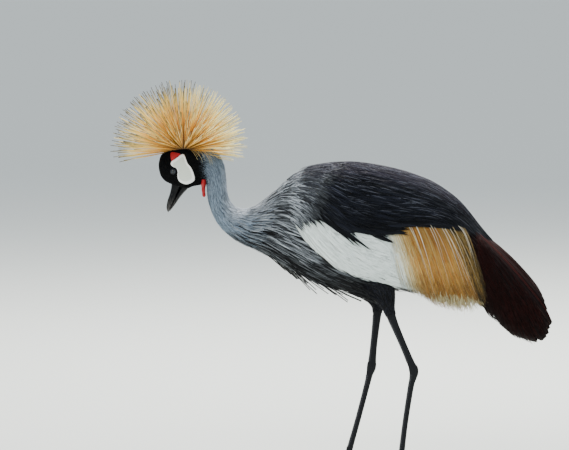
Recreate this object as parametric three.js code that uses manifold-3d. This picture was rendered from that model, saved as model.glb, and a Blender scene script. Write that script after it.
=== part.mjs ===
// A life-size grey crowned crane, walking with its neck stretched forward and its head bowed.
// Millimetres, +Z up. The bird faces -X, its left side is towards -Y, and the floor is at Z = 0.
// The origin is on the floor, under the middle of the bird's length.
import * as THREE from "three";
import { mergeVertices } from "three/addons/utils/BufferGeometryUtils.js";
import Module from "manifold-3d";

const wasm = await Module();
wasm.setup();

// Driving sizes
const GAP = 0.3; // left between pieces that touch
const HALF_GAP = GAP / 2;
const VANE_THICK = 0.65;
const ORIGIN_X = -96.1; // of the drawing below, moved to X = 0
const SEED = 11;

// The body's side view, from the bill's root to the rump, as pairs of points on the upper and lower outline.
// Each row: upper x, upper z, lower x, lower z, half width, and how high the widest level lies (0 to 1).
const BODY = [
  [-417, 563, -385, 552, 11, 0.5],
  [-427, 567, -380, 555.5, 15, 0.5],
  [-436, 577, -374, 557.8, 18.5, 0.5],
  [-440, 590, -368, 559, 21, 0.5],
  [-440.3, 604, -362.5, 560, 22, 0.5],
  [-435, 619, -358, 561, 22, 0.48],
  [-420, 629, -354.5, 562.3, 21.5, 0.46],
  [-400, 634, -352.3, 564, 21, 0.46],
  [-376, 636.5, -350.9, 566, 20.5, 0.48],
  [-352, 635, -350, 567.5, 20, 0.5],
  [-334, 628, -348.8, 566.8, 19.5, 0.5],
  [-321, 615, -348.2, 563.5, 19, 0.5],
  [-313.5, 598, -347.6, 557, 18.5, 0.5],
  [-310.3, 576, -347, 549, 18.5, 0.5],
  [-309, 556, -346, 540, 18.5, 0.5],
  [-305, 535, -343, 524, 19.5, 0.5],
  [-296, 521, -337, 506, 21, 0.5],
  [-283, 514.5, -328, 488, 23, 0.5],
  [-268, 514, -315, 471.5, 26.5, 0.5],
  [-250, 520.5, -298, 459, 31, 0.5],
  [-232, 532.5, -278, 447, 38, 0.5],
  [-207.7, 554, -250, 436, 47, 0.52],
  [-184, 573, -222, 423, 55, 0.54],
  [-156, 586, -190, 405, 61, 0.55],
  [-113, 594, -150, 385, 68, 0.55],
  [-66, 597, -100, 368, 74, 0.55],
  [-19.5, 593, -45, 357, 76, 0.55],
  [28.5, 582, 10, 354, 72, 0.55],
  [75, 563, 60, 372, 62, 0.55],
  [115, 535, 108, 402, 47, 0.55],
  [150, 496, 146, 426, 33, 0.55],
  [178, 462, 175, 440, 18, 0.55],
];
// Where the body is parted, as row numbers of that table.
const CUT = { face: 0, nape: 9, bend: 16, base: 20, breast: 24, rump: 31 };

// The folded wings and the feathers that droop from them follow one roof over the body.
// Each row: x, upper z, lower z, half width.
const ROOF = [
  [-190, 572, 420, 58],
  [-160, 586, 400, 75],
  [-130, 593, 386, 86],
  [-90, 597.5, 368, 94],
  [-50, 597, 358, 98],
  [0, 589, 350, 99],
  [50, 576, 343, 95],
  [100, 555, 326, 87],
  [150, 518, 314, 75],
  [200, 464, 306, 58],
  [250, 418, 266, 43],
  [300, 360, 246, 29],
  [330, 305, 242, 18],
];

const COLOURS = {
  velvet: [0x0b0b0e, 0.95],
  cheek: [0xd9dad2, 0.6],
  red: [0xb3171c, 0.5],
  bill: [0x1d1c20, 0.4],
  eye: [0xa9bcc4, 0.15],
  crest: [0xd9a85a, 0.7],
  neck: [0x8d97a5, 0.85],
  plume: [0x565c65, 0.8],
  slate: [0x22262c, 0.7],
  white: [0xe4e8e4, 0.8],
  gold: [0xcf9a55, 0.75],
  chestnut: [0x3a1612, 0.75],
  black: [0x121214, 0.7],
  leg: [0x26262b, 0.6],
  claw: [0x17171a, 0.4],
};

// Smooth curves through tables

// The row at a fractional place, with every column on a smooth curve through the rows.
function rowAt(rows, place) {
  const last = rows.length - 1;
  const at = Math.min(Math.max(place, 0), last);
  const i = Math.min(Math.floor(at), last - 1);
  const t = at - i;
  const [a, b, c, d] = [i - 1, i, i + 1, i + 2].map((k) => rows[Math.min(Math.max(k, 0), last)]);
  return b.map((_, n) => {
    const inTangent = (c[n] - a[n]) / 2;
    const outTangent = (d[n] - b[n]) / 2;
    const t2 = t * t;
    const t3 = t2 * t;
    return (
      (2 * t3 - 3 * t2 + 1) * b[n] +
      (t3 - 2 * t2 + t) * inTangent +
      (3 * t2 - 2 * t3) * c[n] +
      (t3 - t2) * outTangent
    );
  });
}

// The place in a table whose first column is x.
function placeOf(rows, x) {
  let low = 0;
  let high = rows.length - 1;
  for (let n = 0; n < 30; n += 1) {
    const middle = (low + high) / 2;
    if (rowAt(rows, middle)[0] < x) low = middle;
    else high = middle;
  }
  return (low + high) / 2;
}

// A height read from a short table of x and z.
function edge(table) {
  return (x) => {
    const clamped = Math.min(Math.max(x, table[0][0]), table[table.length - 1][0]);
    return rowAt(table, placeOf(table, clamped))[1];
  };
}

const mix = (a, b, t) => a + (b - a) * t;
const mixPair = (a, b, t) => [mix(a[0], b[0], t), mix(a[1], b[1], t)];
// A value read from an evenly spaced list.
const readOff = (list, t) => rowAt(list.map((v) => [v]), t * (list.length - 1))[0];

// The same draws every time, between -1 and 1.
function drawsFrom(seed) {
  let state = seed;
  return () => {
    state = (state * 1664525 + 1013904223) % 4294967296;
    return (state / 4294967296) * 2 - 1;
  };
}

// Surfaces that pieces are set on: a point for a place along, an angle round and a height above.
// The angle is 0 on the left side, 90 on top and -90 below, in degrees.
function ringPoint([ux, uz, lx, lz, half, level], angle, lift) {
  const lower = new THREE.Vector3(lx, 0, lz);
  const across = new THREE.Vector3(ux, 0, uz).sub(lower);
  const depth = across.length();
  across.normalize();
  const a = THREE.MathUtils.degToRad(angle);
  const s = Math.sin(a);
  const reach = s >= 0 ? (1 - level) * depth + lift : level * depth + lift;
  const centre = lower.addScaledVector(across, level * depth);
  return new THREE.Vector3(
    centre.x + across.x * reach * s,
    -(half + lift) * Math.cos(a),
    centre.z + across.z * reach * s,
  );
}

const bodyPoint = (place, angle, lift = 0) => ringPoint(rowAt(BODY, place), angle, lift);

function roofPoint(x, angle, lift = 0) {
  const [, top, bottom, half] = rowAt(ROOF, placeOf(ROOF, x));
  return ringPoint([x, top, x, bottom, half, 0.5], angle, lift);
}

// The angle at which the roof has this height.
function roofAngle(x, z) {
  const [, top, bottom] = rowAt(ROOF, placeOf(ROOF, x));
  const s = (z - (top + bottom) / 2) / ((top - bottom) / 2);
  return THREE.MathUtils.radToDeg(Math.asin(Math.min(Math.max(s, -0.99998), 0.99998)));
}

// Closed meshes

// A solid from a three.js geometry, turned so that its faces point out.
function solidOf(geometry) {
  const bare = new THREE.BufferGeometry();
  bare.setAttribute("position", geometry.getAttribute("position"));
  bare.setIndex(geometry.getIndex());
  const merged = mergeVertices(bare, 1e-5);
  const index = [...merged.getIndex().array];
  const points = merged.getAttribute("position").array;
  const corner = (n) => new THREE.Vector3().fromArray(points, index[n] * 3);
  let volume = 0;
  for (let n = 0; n < index.length; n += 3) volume += corner(n).dot(corner(n + 1).cross(corner(n + 2)));
  if (volume < 0) index.reverse();
  return new wasm.Manifold(
    new wasm.Mesh({
      numProp: 3,
      vertProperties: new Float32Array(points),
      triVerts: new Uint32Array(index),
    }),
  );
}

function solidFrom(points, triangles) {
  const geometry = new THREE.BufferGeometry().setFromPoints(points);
  geometry.setIndex(triangles.flat());
  return solidOf(geometry);
}

// A closed tube through rings of points, with a middle point at each end. An even one has its left and right
// halves split into triangles as mirror images.
function fromRings(rings, even = false) {
  const count = rings[0].length;
  const points = rings.flat();
  const triangles = [];
  for (let i = 0; i < rings.length - 1; i += 1) {
    for (let j = 0; j < count; j += 1) {
      const a = i * count + j;
      const b = i * count + ((j + 1) % count);
      const turned = even && 4 * j >= count && 4 * j < 3 * count;
      if (turned) triangles.push([a, b, a + count], [b, b + count, a + count]);
      else triangles.push([a, b, b + count], [a, b + count, a + count]);
    }
  }
  for (const [ring, turned] of [[0, false], [rings.length - 1, true]]) {
    const middle = points.length;
    const centre = rings[ring].reduce((sum, p) => sum.add(p), new THREE.Vector3());
    points.push(centre.divideScalar(count));
    for (let j = 0; j < count; j += 1) {
      const a = ring * count + j;
      const b = ring * count + ((j + 1) % count);
      triangles.push(turned ? [a, b, middle] : [b, a, middle]);
    }
  }
  return solidFrom(points, triangles);
}

// A stretch of the body from one row to another. Its ends stand back by half a gap, or reach out by a growth.
function bodyStretch(from, to, steps, sides, lift = 0) {
  const rings = [];
  for (let i = 0; i <= steps; i += 1) {
    const place = mix(from, to, i / steps);
    const ring = [];
    for (let j = 0; j < sides; j += 1) ring.push(bodyPoint(place, (360 * j) / sides, lift));
    rings.push(ring);
  }
  for (const [ring, place, sign] of [[rings[0], from, 1], [rings[steps], to, -1]]) {
    const [ux, uz, lx, lz] = rowAt(BODY, place);
    const onward = new THREE.Vector3(uz - lz, 0, lx - ux).normalize();
    ring.forEach((p) => p.addScaledVector(onward, (HALF_GAP - lift) * sign));
  }
  return fromRings(rings, true);
}

// A tube along a path in space, from one stop to another. Each stop: x, y, z, half size in the path's upright
// plane, half size across. Its ends stand back by half a gap, or reach out by a growth.
function tube(stops, sides, grow = 0, first = 0, last = stops.length - 1) {
  const rings = [];
  for (let i = first; i <= last; i += 1) {
    const [x, y, z, tall, wide] = stops[i];
    const before = new THREE.Vector3(...stops[Math.max(i - 1, 0)].slice(0, 3));
    const after = new THREE.Vector3(...stops[Math.min(i + 1, stops.length - 1)].slice(0, 3));
    const along = after.sub(before).normalize();
    const across = new THREE.Vector3(-along.y, along.x, 0);
    if (across.length() < 0.3) across.set(0, 1, 0);
    across.addScaledVector(along, -across.dot(along)).normalize();
    const up = new THREE.Vector3().crossVectors(across, along);
    const end = i === first ? HALF_GAP - grow : i === last ? grow - HALF_GAP : 0;
    rings.push(
      Array.from({ length: sides }, (_, j) => {
        const a = (2 * Math.PI * (j + 0.5)) / sides;
        return new THREE.Vector3(x, y, z)
          .addScaledVector(along, end)
          .addScaledVector(across, (wide + grow) * Math.cos(a))
          .addScaledVector(up, (tall + grow) * Math.sin(a));
      }),
    );
  }
  return fromRings(rings);
}

// A smooth lump with its middle and half sizes given.
function lump(middle, halves, around = 14, upright = 9) {
  const ball = new THREE.SphereGeometry(1, around, upright);
  return solidOf(ball.rotateX(Math.PI / 2).scale(...halves).translate(...middle));
}

// An outline in the side view, drawn out along Y.
function prism(outline, from, to) {
  const shape = new THREE.Shape(outline.map(([x, z]) => new THREE.Vector2(x, z)));
  const drawn = new THREE.ExtrudeGeometry(shape, { depth: to - from, bevelEnabled: false });
  return solidOf(drawn.rotateX(Math.PI / 2).translate(0, to, 0));
}

// A curved slab on the roof between two x, from a lower to an upper height, and from an inner to an outer lift.
function slab({ from, to, lower, upper, inner, outer, along, round }) {
  const points = [];
  const width = round + 1;
  for (const lift of [outer, inner]) {
    for (let i = 0; i <= along; i += 1) {
      const x = mix(from, to, i / along);
      const low = roofAngle(x, lower(x));
      const high = roofAngle(x, upper(x));
      for (let j = 0; j <= round; j += 1) points.push(roofPoint(x, mix(low, high, j / round), lift(x)));
    }
  }
  const under = (along + 1) * width;
  const triangles = [];
  for (let i = 0; i < along; i += 1) {
    for (let j = 0; j < round; j += 1) {
      const a = i * width + j;
      const [b, c, d] = [a + 1, a + 1 + width, a + width];
      triangles.push([a, b, c], [a, c, d]);
      triangles.push([c + under, b + under, a + under], [d + under, c + under, a + under]);
    }
  }
  const wall = (a, b) => triangles.push([b, a, a + under], [b, a + under, b + under]);
  for (let i = 0; i < along; i += 1) {
    wall((i + 1) * width, i * width);
    wall(i * width + round, (i + 1) * width + round);
  }
  for (let j = 0; j < round; j += 1) {
    wall(j, j + 1);
    wall(along * width + j + 1, along * width + j);
  }
  return solidFrom(points, triangles);
}

const grown = (shape) => slab({
  ...shape,
  from: shape.from - GAP,
  to: shape.to + GAP,
  lower: (x) => shape.lower(x) - GAP,
  upper: (x) => shape.upper(x) + GAP,
  inner: (x) => shape.inner(x) - GAP,
  outer: (x) => shape.outer(x) + GAP,
});

// How far along and round a surface one steps to go across a path by 1 mm, at a share t of its length.
function stepAcross(surface, path, t) {
  const spot = (u) => surface(...path(u));
  const [along, round, lift] = path(t);
  const ahead = spot(Math.min(t + 0.02, 1)).sub(spot(Math.max(t - 0.02, 0))).normalize();
  const down = surface(along + 0.05, round, lift).sub(surface(along - 0.05, round, lift)).multiplyScalar(10);
  const turn = surface(along, round + 0.5, lift).sub(surface(along, round - 0.5, lift));
  const out = new THREE.Vector3().crossVectors(down, turn).normalize();
  if (out.dot(surface(along, round, lift + 1).sub(surface(along, round, lift))) < 0) out.negate();
  const across = new THREE.Vector3().crossVectors(out, ahead).normalize();
  const [dd, dt, tt] = [down.dot(down), down.dot(turn), turn.dot(turn)];
  const [da, ta] = [down.dot(across), turn.dot(across)];
  const whole = dd * tt - dt * dt;
  return [(tt * da - dt * ta) / whole, (dd * ta - dt * da) / whole];
}

// The line of a vane or lock on its surface: from and to are places on it, bend bows the line between them,
// and lifts run along it.
const lineOf = ({ from, to, bend = 0, lifts }) => (t) => [
  mix(from[0], to[0], t),
  mix(from[1], to[1], t) + 4 * bend * t * (1 - t),
  readOff(lifts, t),
];

// A flat vane bent over its surface, from its root to its tip, split into triangles alike on both faces.
function vane(surface, shape, grow = 0) {
  const { half, widths, thick = VANE_THICK, steps = 4, columns = 2 } = shape;
  const path = lineOf(shape);
  const points = [];
  for (let i = 0; i <= steps; i += 1) {
    const t = i / steps;
    const [along, round, lift] = path(t);
    const [stepAlong, stepRound] = stepAcross(surface, path, t);
    const width = half * readOff(widths, t) + grow;
    for (let c = 0; c < columns; c += 1) {
      const side = width * ((2 * c) / (columns - 1) - 1);
      for (const face of [1, -1]) {
        points.push(surface(along + side * stepAlong, round + side * stepRound, lift + face * (thick / 2 + grow)));
      }
    }
  }
  const at = (i, column, face) => (i * columns + column) * 2 + face;
  const triangles = [];
  const quad = (a, b, c, d) => triangles.push([a, b, c], [a, c, d]);
  for (let i = 0; i < steps; i += 1) {
    for (let c = 0; c < columns - 1; c += 1) {
      quad(at(i, c, 0), at(i, c + 1, 0), at(i + 1, c + 1, 0), at(i + 1, c, 0));
      triangles.push([at(i + 1, c + 1, 1), at(i, c + 1, 1), at(i, c, 1)]);
      triangles.push([at(i + 1, c, 1), at(i + 1, c + 1, 1), at(i, c, 1)]);
    }
    quad(at(i, 0, 1), at(i, 0, 0), at(i + 1, 0, 0), at(i + 1, 0, 1));
    quad(at(i, columns - 1, 0), at(i, columns - 1, 1), at(i + 1, columns - 1, 1), at(i + 1, columns - 1, 0));
  }
  for (let c = 0; c < columns - 1; c += 1) {
    quad(at(0, c, 1), at(0, c + 1, 1), at(0, c + 1, 0), at(0, c, 0));
    quad(at(steps, c, 0), at(steps, c + 1, 0), at(steps, c + 1, 1), at(steps, c, 1));
  }
  return solidFrom(points, triangles);
}

// A closed spike with three sides, through rings of three points to a point at its tip.
function spike(rings, tip) {
  const points = [...rings.flat(), tip];
  const triangles = [[0, 2, 1]];
  for (let i = 0; i < rings.length; i += 1) {
    for (let j = 0; j < 3; j += 1) {
      const a = i * 3 + j;
      const b = i * 3 + ((j + 1) % 3);
      if (i === rings.length - 1) triangles.push([a, b, points.length - 1]);
      else triangles.push([a, b, b + 3], [a, b + 3, a + 3]);
    }
  }
  return solidFrom(points, triangles);
}

// A slim lock on a surface, flat below with a low ridge above.
function lock(surface, shape, grow = 0) {
  const { half, widths, tall, steps = 3 } = shape;
  const path = lineOf(shape);
  const rings = [];
  for (let i = 0; i < steps; i += 1) {
    const t = i / steps;
    const [along, round, lift] = path(t);
    const [stepAlong, stepRound] = stepAcross(surface, path, t);
    const width = half * readOff(widths, t) + grow;
    const high = tall * readOff(widths, t) + 2 * grow;
    const corner = (side, rise) => surface(along + side * stepAlong, round + side * stepRound, lift + rise);
    rings.push([corner(-width, -high / 2), corner(width, -high / 2), corner(0, high / 2)]);
  }
  return spike(rings, surface(...path(1)));
}

const fuse = (pieces) => wasm.Manifold.union(pieces);
const cutBy = (solid, others) => solid.subtract(fuse(others));

// The largest closed body of a solid, without the scraps that a cut leaves.
function largest(solid) {
  return solid.decompose().sort((a, b) => b.volume() - a.volume())[0];
}

// The same solid on the right side of the bird.
const mirrored = (solid) => solid.mirror([0, 1, 0]);

const crane = new THREE.Group();
crane.position.x = -ORIGIN_X;

function place(name, solid, colour) {
  const mesh = largest(solid).getMesh();
  const geometry = new THREE.BufferGeometry();
  geometry.setAttribute("position", new THREE.BufferAttribute(mesh.vertProperties, 3));
  geometry.setIndex(new THREE.BufferAttribute(mesh.triVerts, 1));
  const [color, roughness] = COLOURS[colour];
  const piece = new THREE.Mesh(geometry, new THREE.MeshStandardMaterial({ color, roughness, metalness: 0 }));
  piece.name = name;
  crane.add(piece);
}

function placePair(name, left, colour) {
  place(`${name}_left`, left, colour);
  place(`${name}_right`, mirrored(left), colour);
}

// Head: a narrow skull with a high velvet cushion on the forehead, eye sockets and lids
const HEAD = { sides: 16, steps: 12 };
const EYE = { x: -412.5, y: -17.2, z: 587.5, radius: 5.6 };
const LID = { outer: 7.4, across: 6, depth: 5.8 };
const eyeSpot = [EYE.x, EYE.y, EYE.z];
const headRaw = bodyStretch(CUT.face, CUT.nape, HEAD.steps, HEAD.sides);
const headGrown = bodyStretch(CUT.face, CUT.nape, HEAD.steps, HEAD.sides, GAP);
const lidRim = lump(eyeSpot, [LID.outer, LID.depth, LID.across], 10, 7);
const socket = lump(eyeSpot, Array(3).fill(EYE.radius + GAP), 10, 7);
const head = cutBy(fuse([headRaw, lidRim, mirrored(lidRim)]), [socket, mirrored(socket)]);
place("head", head, "velvet");
placePair("eye", lump(eyeSpot, Array(3).fill(EYE.radius), 10, 7), "eye");

// Cheek patches: bare white skin with a waist behind the eye and red skin above it, just proud of the feathers
const CHEEK_THICK = 1.3;
const CHEEK = [
  [-397.4, 620.3], [-391, 620.3], [-384.7, 604.5], [-377.7, 595.9], [-373, 585.4],
  [-370.5, 573.5], [-374.4, 567], [-386.5, 562.6], [-397.8, 566.3], [-402.6, 572.3],
  [-404, 581], [-403.4, 587], [-406, 594], [-413.2, 597.6], [-416.9, 601.5],
  [-415.7, 607.2], [-408.3, 612.3], [-402.2, 616.8],
];
const RED_CAP = [[-417, 624], [-403, 623.2], [-398.2, 621.2], [-402.6, 617.4], [-408.6, 612.9], [-415.6, 608.4]];
const cheekSkin = bodyStretch(CUT.face, CUT.nape, HEAD.steps, HEAD.sides, CHEEK_THICK);
const lidRoom = lump(eyeSpot, [LID.outer + 2 * GAP, LID.depth + 2, LID.across + 2 * GAP], 10, 7);
placePair("cheek", cutBy(cheekSkin.intersect(prism(CHEEK, -40, -5)), [headGrown, lidRoom]), "cheek");
placePair("red_cap", cutBy(cheekSkin.intersect(prism(RED_CAP, -40, -5)), [headGrown]), "red");

// Bill: two pointed halves that meet along the mouth line, with a nostril let into each side
// Each row: upper x, upper z, lower x, lower z, half width, widest level.
const UPPER_BILL = [
  [-415.7, 562.2, -398.2, 556.2, 9.6, 0.3],
  [-416.8, 553, -402.5, 548, 8, 0.3],
  [-419.5, 542, -407.5, 537.5, 6.6, 0.3],
  [-423.6, 530, -413, 526.5, 5.4, 0.3],
  [-425.8, 518, -418.3, 516, 4, 0.3],
  [-424.9, 510.5, -421.3, 509.4, 2.2, 0.3],
  [-422.7, 506.8, -422, 506.6, 0.6, 0.3],
];
const LOWER_BILL = [
  [-397.8, 556, -385.6, 551.8, 9.2, 0.7],
  [-402.1, 547.8, -393.5, 543.5, 7.4, 0.7],
  [-407.1, 537.3, -401, 534, 6, 0.7],
  [-412.6, 526.3, -407.8, 524, 4.6, 0.7],
  [-417.9, 515.8, -415, 514.5, 3, 0.7],
  [-420.6, 509.2, -419.8, 508.8, 0.7, 0.7],
];
const BILL_SIDES = 12;
function billHalf(rows, opening = 0) {
  const rings = rows.map(([ux, uz, lx, lz, half, level]) => {
    const row = [ux, uz, lx + opening, lz, half + opening, level];
    return Array.from({ length: BILL_SIDES }, (_, j) => ringPoint(row, (360 * j) / BILL_SIDES, 0));
  });
  const onward = new THREE.Vector3(-0.325, 0, -0.946);
  rings[0].forEach((p) => p.addScaledVector(onward, HALF_GAP));
  return fromRings(rings);
}
const nostril = tube([[-412.2, -9, 551.2, 1.2, 5], [-413.8, -9, 546, 2, 5], [-416, -9, 539.5, 1.2, 5]], 5);
place("bill_upper", cutBy(billHalf(UPPER_BILL), [nostril, mirrored(nostril)]), "bill");
place("bill_lower", cutBy(billHalf(LOWER_BILL), [billHalf(UPPER_BILL, GAP)]), "bill");

// Neck: slim and grey, arched over at the nape and stretched forward
const NECK_SIDES = 16;
place("neck_upper", bodyStretch(CUT.nape, CUT.bend, 8, NECK_SIDES), "neck");
place("neck_middle", bodyStretch(CUT.bend, CUT.base, 5, NECK_SIDES), "neck");
const neckGrown = bodyStretch(CUT.nape, CUT.bend, 8, NECK_SIDES, GAP);

// Throat wattle: a fold of red skin slung under the chin, with two bulbs that hang from it
const THROAT_FOLD = [
  [-353.5, 0, 572, 5, 17.5], [-353.8, 0, 564, 5.6, 14], [-354, 0, 557, 4.4, 8], [-353.6, 0, 552, 2.6, 4],
];
const BULB = [
  [-353.8, -2.4, 560, 3, 3], [-353.9, -3, 552, 3.8, 3.6], [-353.4, -2.6, 545, 3.2, 3],
  [-352.8, -2.2, 539.5, 3.4, 3.2], [-352.4, -2, 536.6, 1.4, 1.6],
];
const bulb = tube(BULB, 6);
place("wattle", cutBy(fuse([tube(THROAT_FOLD, 8), bulb, mirrored(bulb)]), [headGrown, neckGrown]), "red");

// Crest: stiff straw-coloured bristles that stand in a round brush on the hind crown
const CREST = { x: -391, z: 634, core: [12, 11, 9], count: 57, length: 124, vary: 8, radius: 1 };
const crestDraw = drawsFrom(SEED);
const bristles = [];
for (let n = 0; n < CREST.count; n += 1) {
  const tilt = Math.acos(1 - (1.06 * (n + 0.5)) / CREST.count);
  const turn = n * Math.PI * (3 - Math.sqrt(5)) + 0.12 * crestDraw();
  const way = new THREE.Vector3(
    Math.sin(tilt) * Math.cos(turn),
    Math.sin(tilt) * Math.sin(turn) * 0.82,
    Math.cos(tilt) + 0.02 + 0.12 * Math.max(Math.cos(turn), 0),
  ).normalize();
  const across = new THREE.Vector3(-way.z, 0.3, way.x).cross(way).normalize();
  const up = new THREE.Vector3().crossVectors(way, across);
  const length = CREST.length + CREST.vary * crestDraw() - 12 * Math.max(way.x, 0) - 24 * way.y * way.y;
  const sway = 3 * crestDraw();
  const along = (far, rise) => new THREE.Vector3(CREST.x, 0, CREST.z)
    .addScaledVector(way, far)
    .addScaledVector(up, rise);
  const ring = (far, radius, rise) => Array.from({ length: 3 }, (_, j) => {
    const a = (2 * Math.PI * j) / 3;
    return along(far, rise + radius * Math.sin(a)).addScaledVector(across, radius * Math.cos(a));
  });
  bristles.push(spike([ring(5, CREST.radius, 0), ring(0.6 * length, CREST.radius * 0.8, sway)], along(length, 0)));
}
const crestCore = lump([CREST.x, 0, CREST.z], CREST.core, 9, 6);
place("crest", cutBy(fuse([crestCore, ...bristles]), [headGrown, neckGrown]), "crest");

// Torso: the breast and the trunk behind it
const TORSO_SIDES = 20;
const torsoParts = (lift) => [
  bodyStretch(CUT.base, CUT.breast, 5, TORSO_SIDES, lift),
  bodyStretch(CUT.breast, CUT.rump, 8, TORSO_SIDES, lift),
];
const [breastCore, torso] = torsoParts(0);
const [breastGrown, rearGrown] = torsoParts(GAP);
const trunkGrown = fuse([breastGrown, rearGrown]);
place("torso", torso, "slate");

// Wings: under the feathers a slab of flesh and bone along each side, with two tiers of white coverts on it
const LEFT_HALF = prism([[-600, -50], [600, -50], [600, 900], [-600, 900]], -300, -HALF_GAP);
const STAGGER = 1.4; // between the lifts of neighbours in a tier
const FEATHER = [0.4, 0.85, 1, 0.95, 0.12];
const LANCE = [0.4, 1, 0.9, 0.55, 0.06];

// Neighbours in a tier lie at different levels, so that they overlap without crossing.
const staggered = (lifts, n, levels = 2) => lifts.map((lift, i) => (i ? lift + (n % levels) * STAGGER : lift));

// One tier of feathers: their roots and tips run between two ends, given as functions of a share from 0 to 1.
function tier({ count, root, tip, bend, lifts, half, widths, steps, columns, jitter = 2 }, draw, grow) {
  return Array.from({ length: count }, (_, n) => {
    const u = n / (count - 1);
    const [rootX, rootZ] = root(u);
    const [tipX, tipZ] = tip(u);
    const endX = tipX + jitter * draw();
    return vane(roofPoint, {
      from: [rootX, roofAngle(rootX, rootZ)],
      to: [endX, roofAngle(endX, tipZ)],
      bend: bend + draw(),
      lifts: staggered(lifts, n),
      half: half * (1 + 0.06 * draw()),
      widths,
      steps,
      columns,
    }, grow);
  });
}

const WHITE_EDGE = edge([
  [-180, 500], [-165, 478], [-149, 453], [-132, 431], [-113, 417], [-90, 400],
  [-66, 387], [-42, 377], [-7, 366], [28, 356], [64, 350], [100, 345], [150, 343],
]);
const wingPad = {
  from: -176,
  to: 146,
  lower: (x) => WHITE_EDGE(x) + mix(4, 16, Math.min((x + 176) / 90, 1)),
  upper: edge([[-180, 512], [-140, 545], [-100, 560], [0, 560], [100, 530], [150, 492]]),
  inner: (x) => -Math.min(18, 9 + (x + 178) / 2),
  outer: () => -6.2,
  along: 6,
  round: 4,
};
const COVERTS = [
  {
    count: 8,
    root: (u) => [mix(-158, 84, u), WHITE_EDGE(mix(-120, 152, u)) + mix(70, 72, u)],
    tip: (u) => [mix(-120, 152, u), WHITE_EDGE(mix(-120, 152, u)) + 1],
    lifts: [-9.2, -5.2, -4.4, -4.1],
  },
  {
    count: 5,
    root: (u) => [mix(-140, 20, u), WHITE_EDGE(mix(-100, 84, u)) + mix(92, 92, u)],
    tip: (u) => [mix(-100, 84, u), WHITE_EDGE(mix(-100, 84, u)) + 34],
    lifts: [-9.2, -4.8, -2.5, -2.1],
  },
];
function wingPieces(grow) {
  const draw = drawsFrom(SEED + 1);
  const tiers = COVERTS.map((row) => tier({
    ...row, bend: 4, half: 12, widths: FEATHER, steps: 3,
  }, draw, grow));
  return fuse([grow ? grown(wingPad) : slab(wingPad), ...tiers.flat()]);
}
const wingGrown = wingPieces(GAP);
placePair("wing", cutBy(wingPieces(0), [trunkGrown]), "white");

// Scapulars: long pointed slate feathers in three tiers, from the shoulder down over the upper wing
const roofTop = (x) => rowAt(ROOF, placeOf(ROOF, x))[1];
const SLATE_TIPS = edge([
  [-112, 492], [-92, 474], [-58, 452], [-28, 442], [18, 453], [46, 471], [78, 480], [112, 482],
  [150, 467], [182, 454], [207, 459],
]);
const slatePad = {
  from: -156,
  to: 120,
  lower: edge([[-156, 545], [-120, 525], [-60, 500], [0, 500], [60, 512], [120, 506]]),
  upper: () => 700,
  inner: () => -0.2,
  outer: () => 1.6,
  along: 6,
  round: 5,
};
const slateTip = (x, up) => [x, mix(SLATE_TIPS(x), roofTop(x), up)];
const SCAPULARS = [
  {
    count: 9,
    root: (u) => [mix(-142, 84, u), roofTop(mix(-142, 84, u)) - mix(28, 24, u)],
    tip: (u) => slateTip(mix(-104, 206, u), 0),
    lifts: [0.1, 2.7, 3.1, 3.3],
  },
  {
    count: 6,
    root: (u) => [mix(-146, 74, u), roofTop(mix(-146, 74, u)) - mix(14, 12, u)],
    tip: (u) => slateTip(mix(-80, 194, u), 0.34),
    lifts: [0.1, 5, 6.2, 6.3],
    steps: 3,
  },
  {
    count: 3,
    root: (u) => [mix(-140, 60, u), roofTop(mix(-140, 60, u)) - 3],
    tip: (u) => slateTip(mix(-40, 186, u), 0.74),
    lifts: [0.1, 5, 8, 8.8],
    steps: 3,
  },
];
function slatePieces(grow) {
  const draw = drawsFrom(SEED + 2);
  const tiers = SCAPULARS.map((row) => tier({ ...row, bend: 3, half: 10.5, widths: LANCE }, draw, grow));
  return fuse([grow ? grown(slatePad) : slab(slatePad), ...tiers.flat()]);
}
const slateGrown = slatePieces(GAP);
placePair("scapulars", cutBy(slatePieces(0), [trunkGrown]).intersect(LEFT_HALF), "slate");

// Golden plumes: narrow hair-like coverts in two tiers that hang over the roots of the secondaries
const goldPad = {
  from: 56,
  to: 184,
  lower: edge([[56, 452], [97, 456], [130, 445], [164, 430], [190, 424]]),
  upper: edge([[56, 480], [97, 484], [130, 472], [164, 456], [190, 448]]),
  inner: () => 0.35,
  outer: () => 1.3,
  along: 5,
  round: 2,
};
const PLUMES = [
  { count: 13, rootX: [60, 181], rootUp: 0.55, tipX: [76, 201], tipZ: [354, 334, 335, 342, 352], lift: 2.1, half: 6.2 },
];
function goldPieces(grow) {
  const draw = drawsFrom(SEED + 3);
  const pieces = [grow ? grown(goldPad) : slab(goldPad)];
  for (const { count, rootX, rootUp, tipX, tipZ, lift, half } of PLUMES) {
    for (let n = 0; n < count; n += 1) {
      const u = n / (count - 1);
      const startX = mix(...rootX, u);
      const startZ = mix(goldPad.lower(startX), goldPad.upper(startX), rootUp);
      const endX = mix(...tipX, u) + 2 * draw();
      pieces.push(lock(roofPoint, {
        from: [startX, roofAngle(startX, startZ)],
        to: [endX, roofAngle(endX, readOff(tipZ, u) + 5 * draw())],
        bend: draw(),
        lifts: staggered([0.8, lift, lift, lift], n),
        half: half * (1 + 0.08 * draw()),
        widths: [0.6, 1, 0.9, 0.6],
        tall: 1,
        steps: 4,
      }, grow));
    }
  }
  return fuse(pieces);
}
const goldGrown = goldPieces(GAP);
placePair("plumes", cutBy(goldPieces(0), [wingGrown, slateGrown]), "gold");

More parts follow.
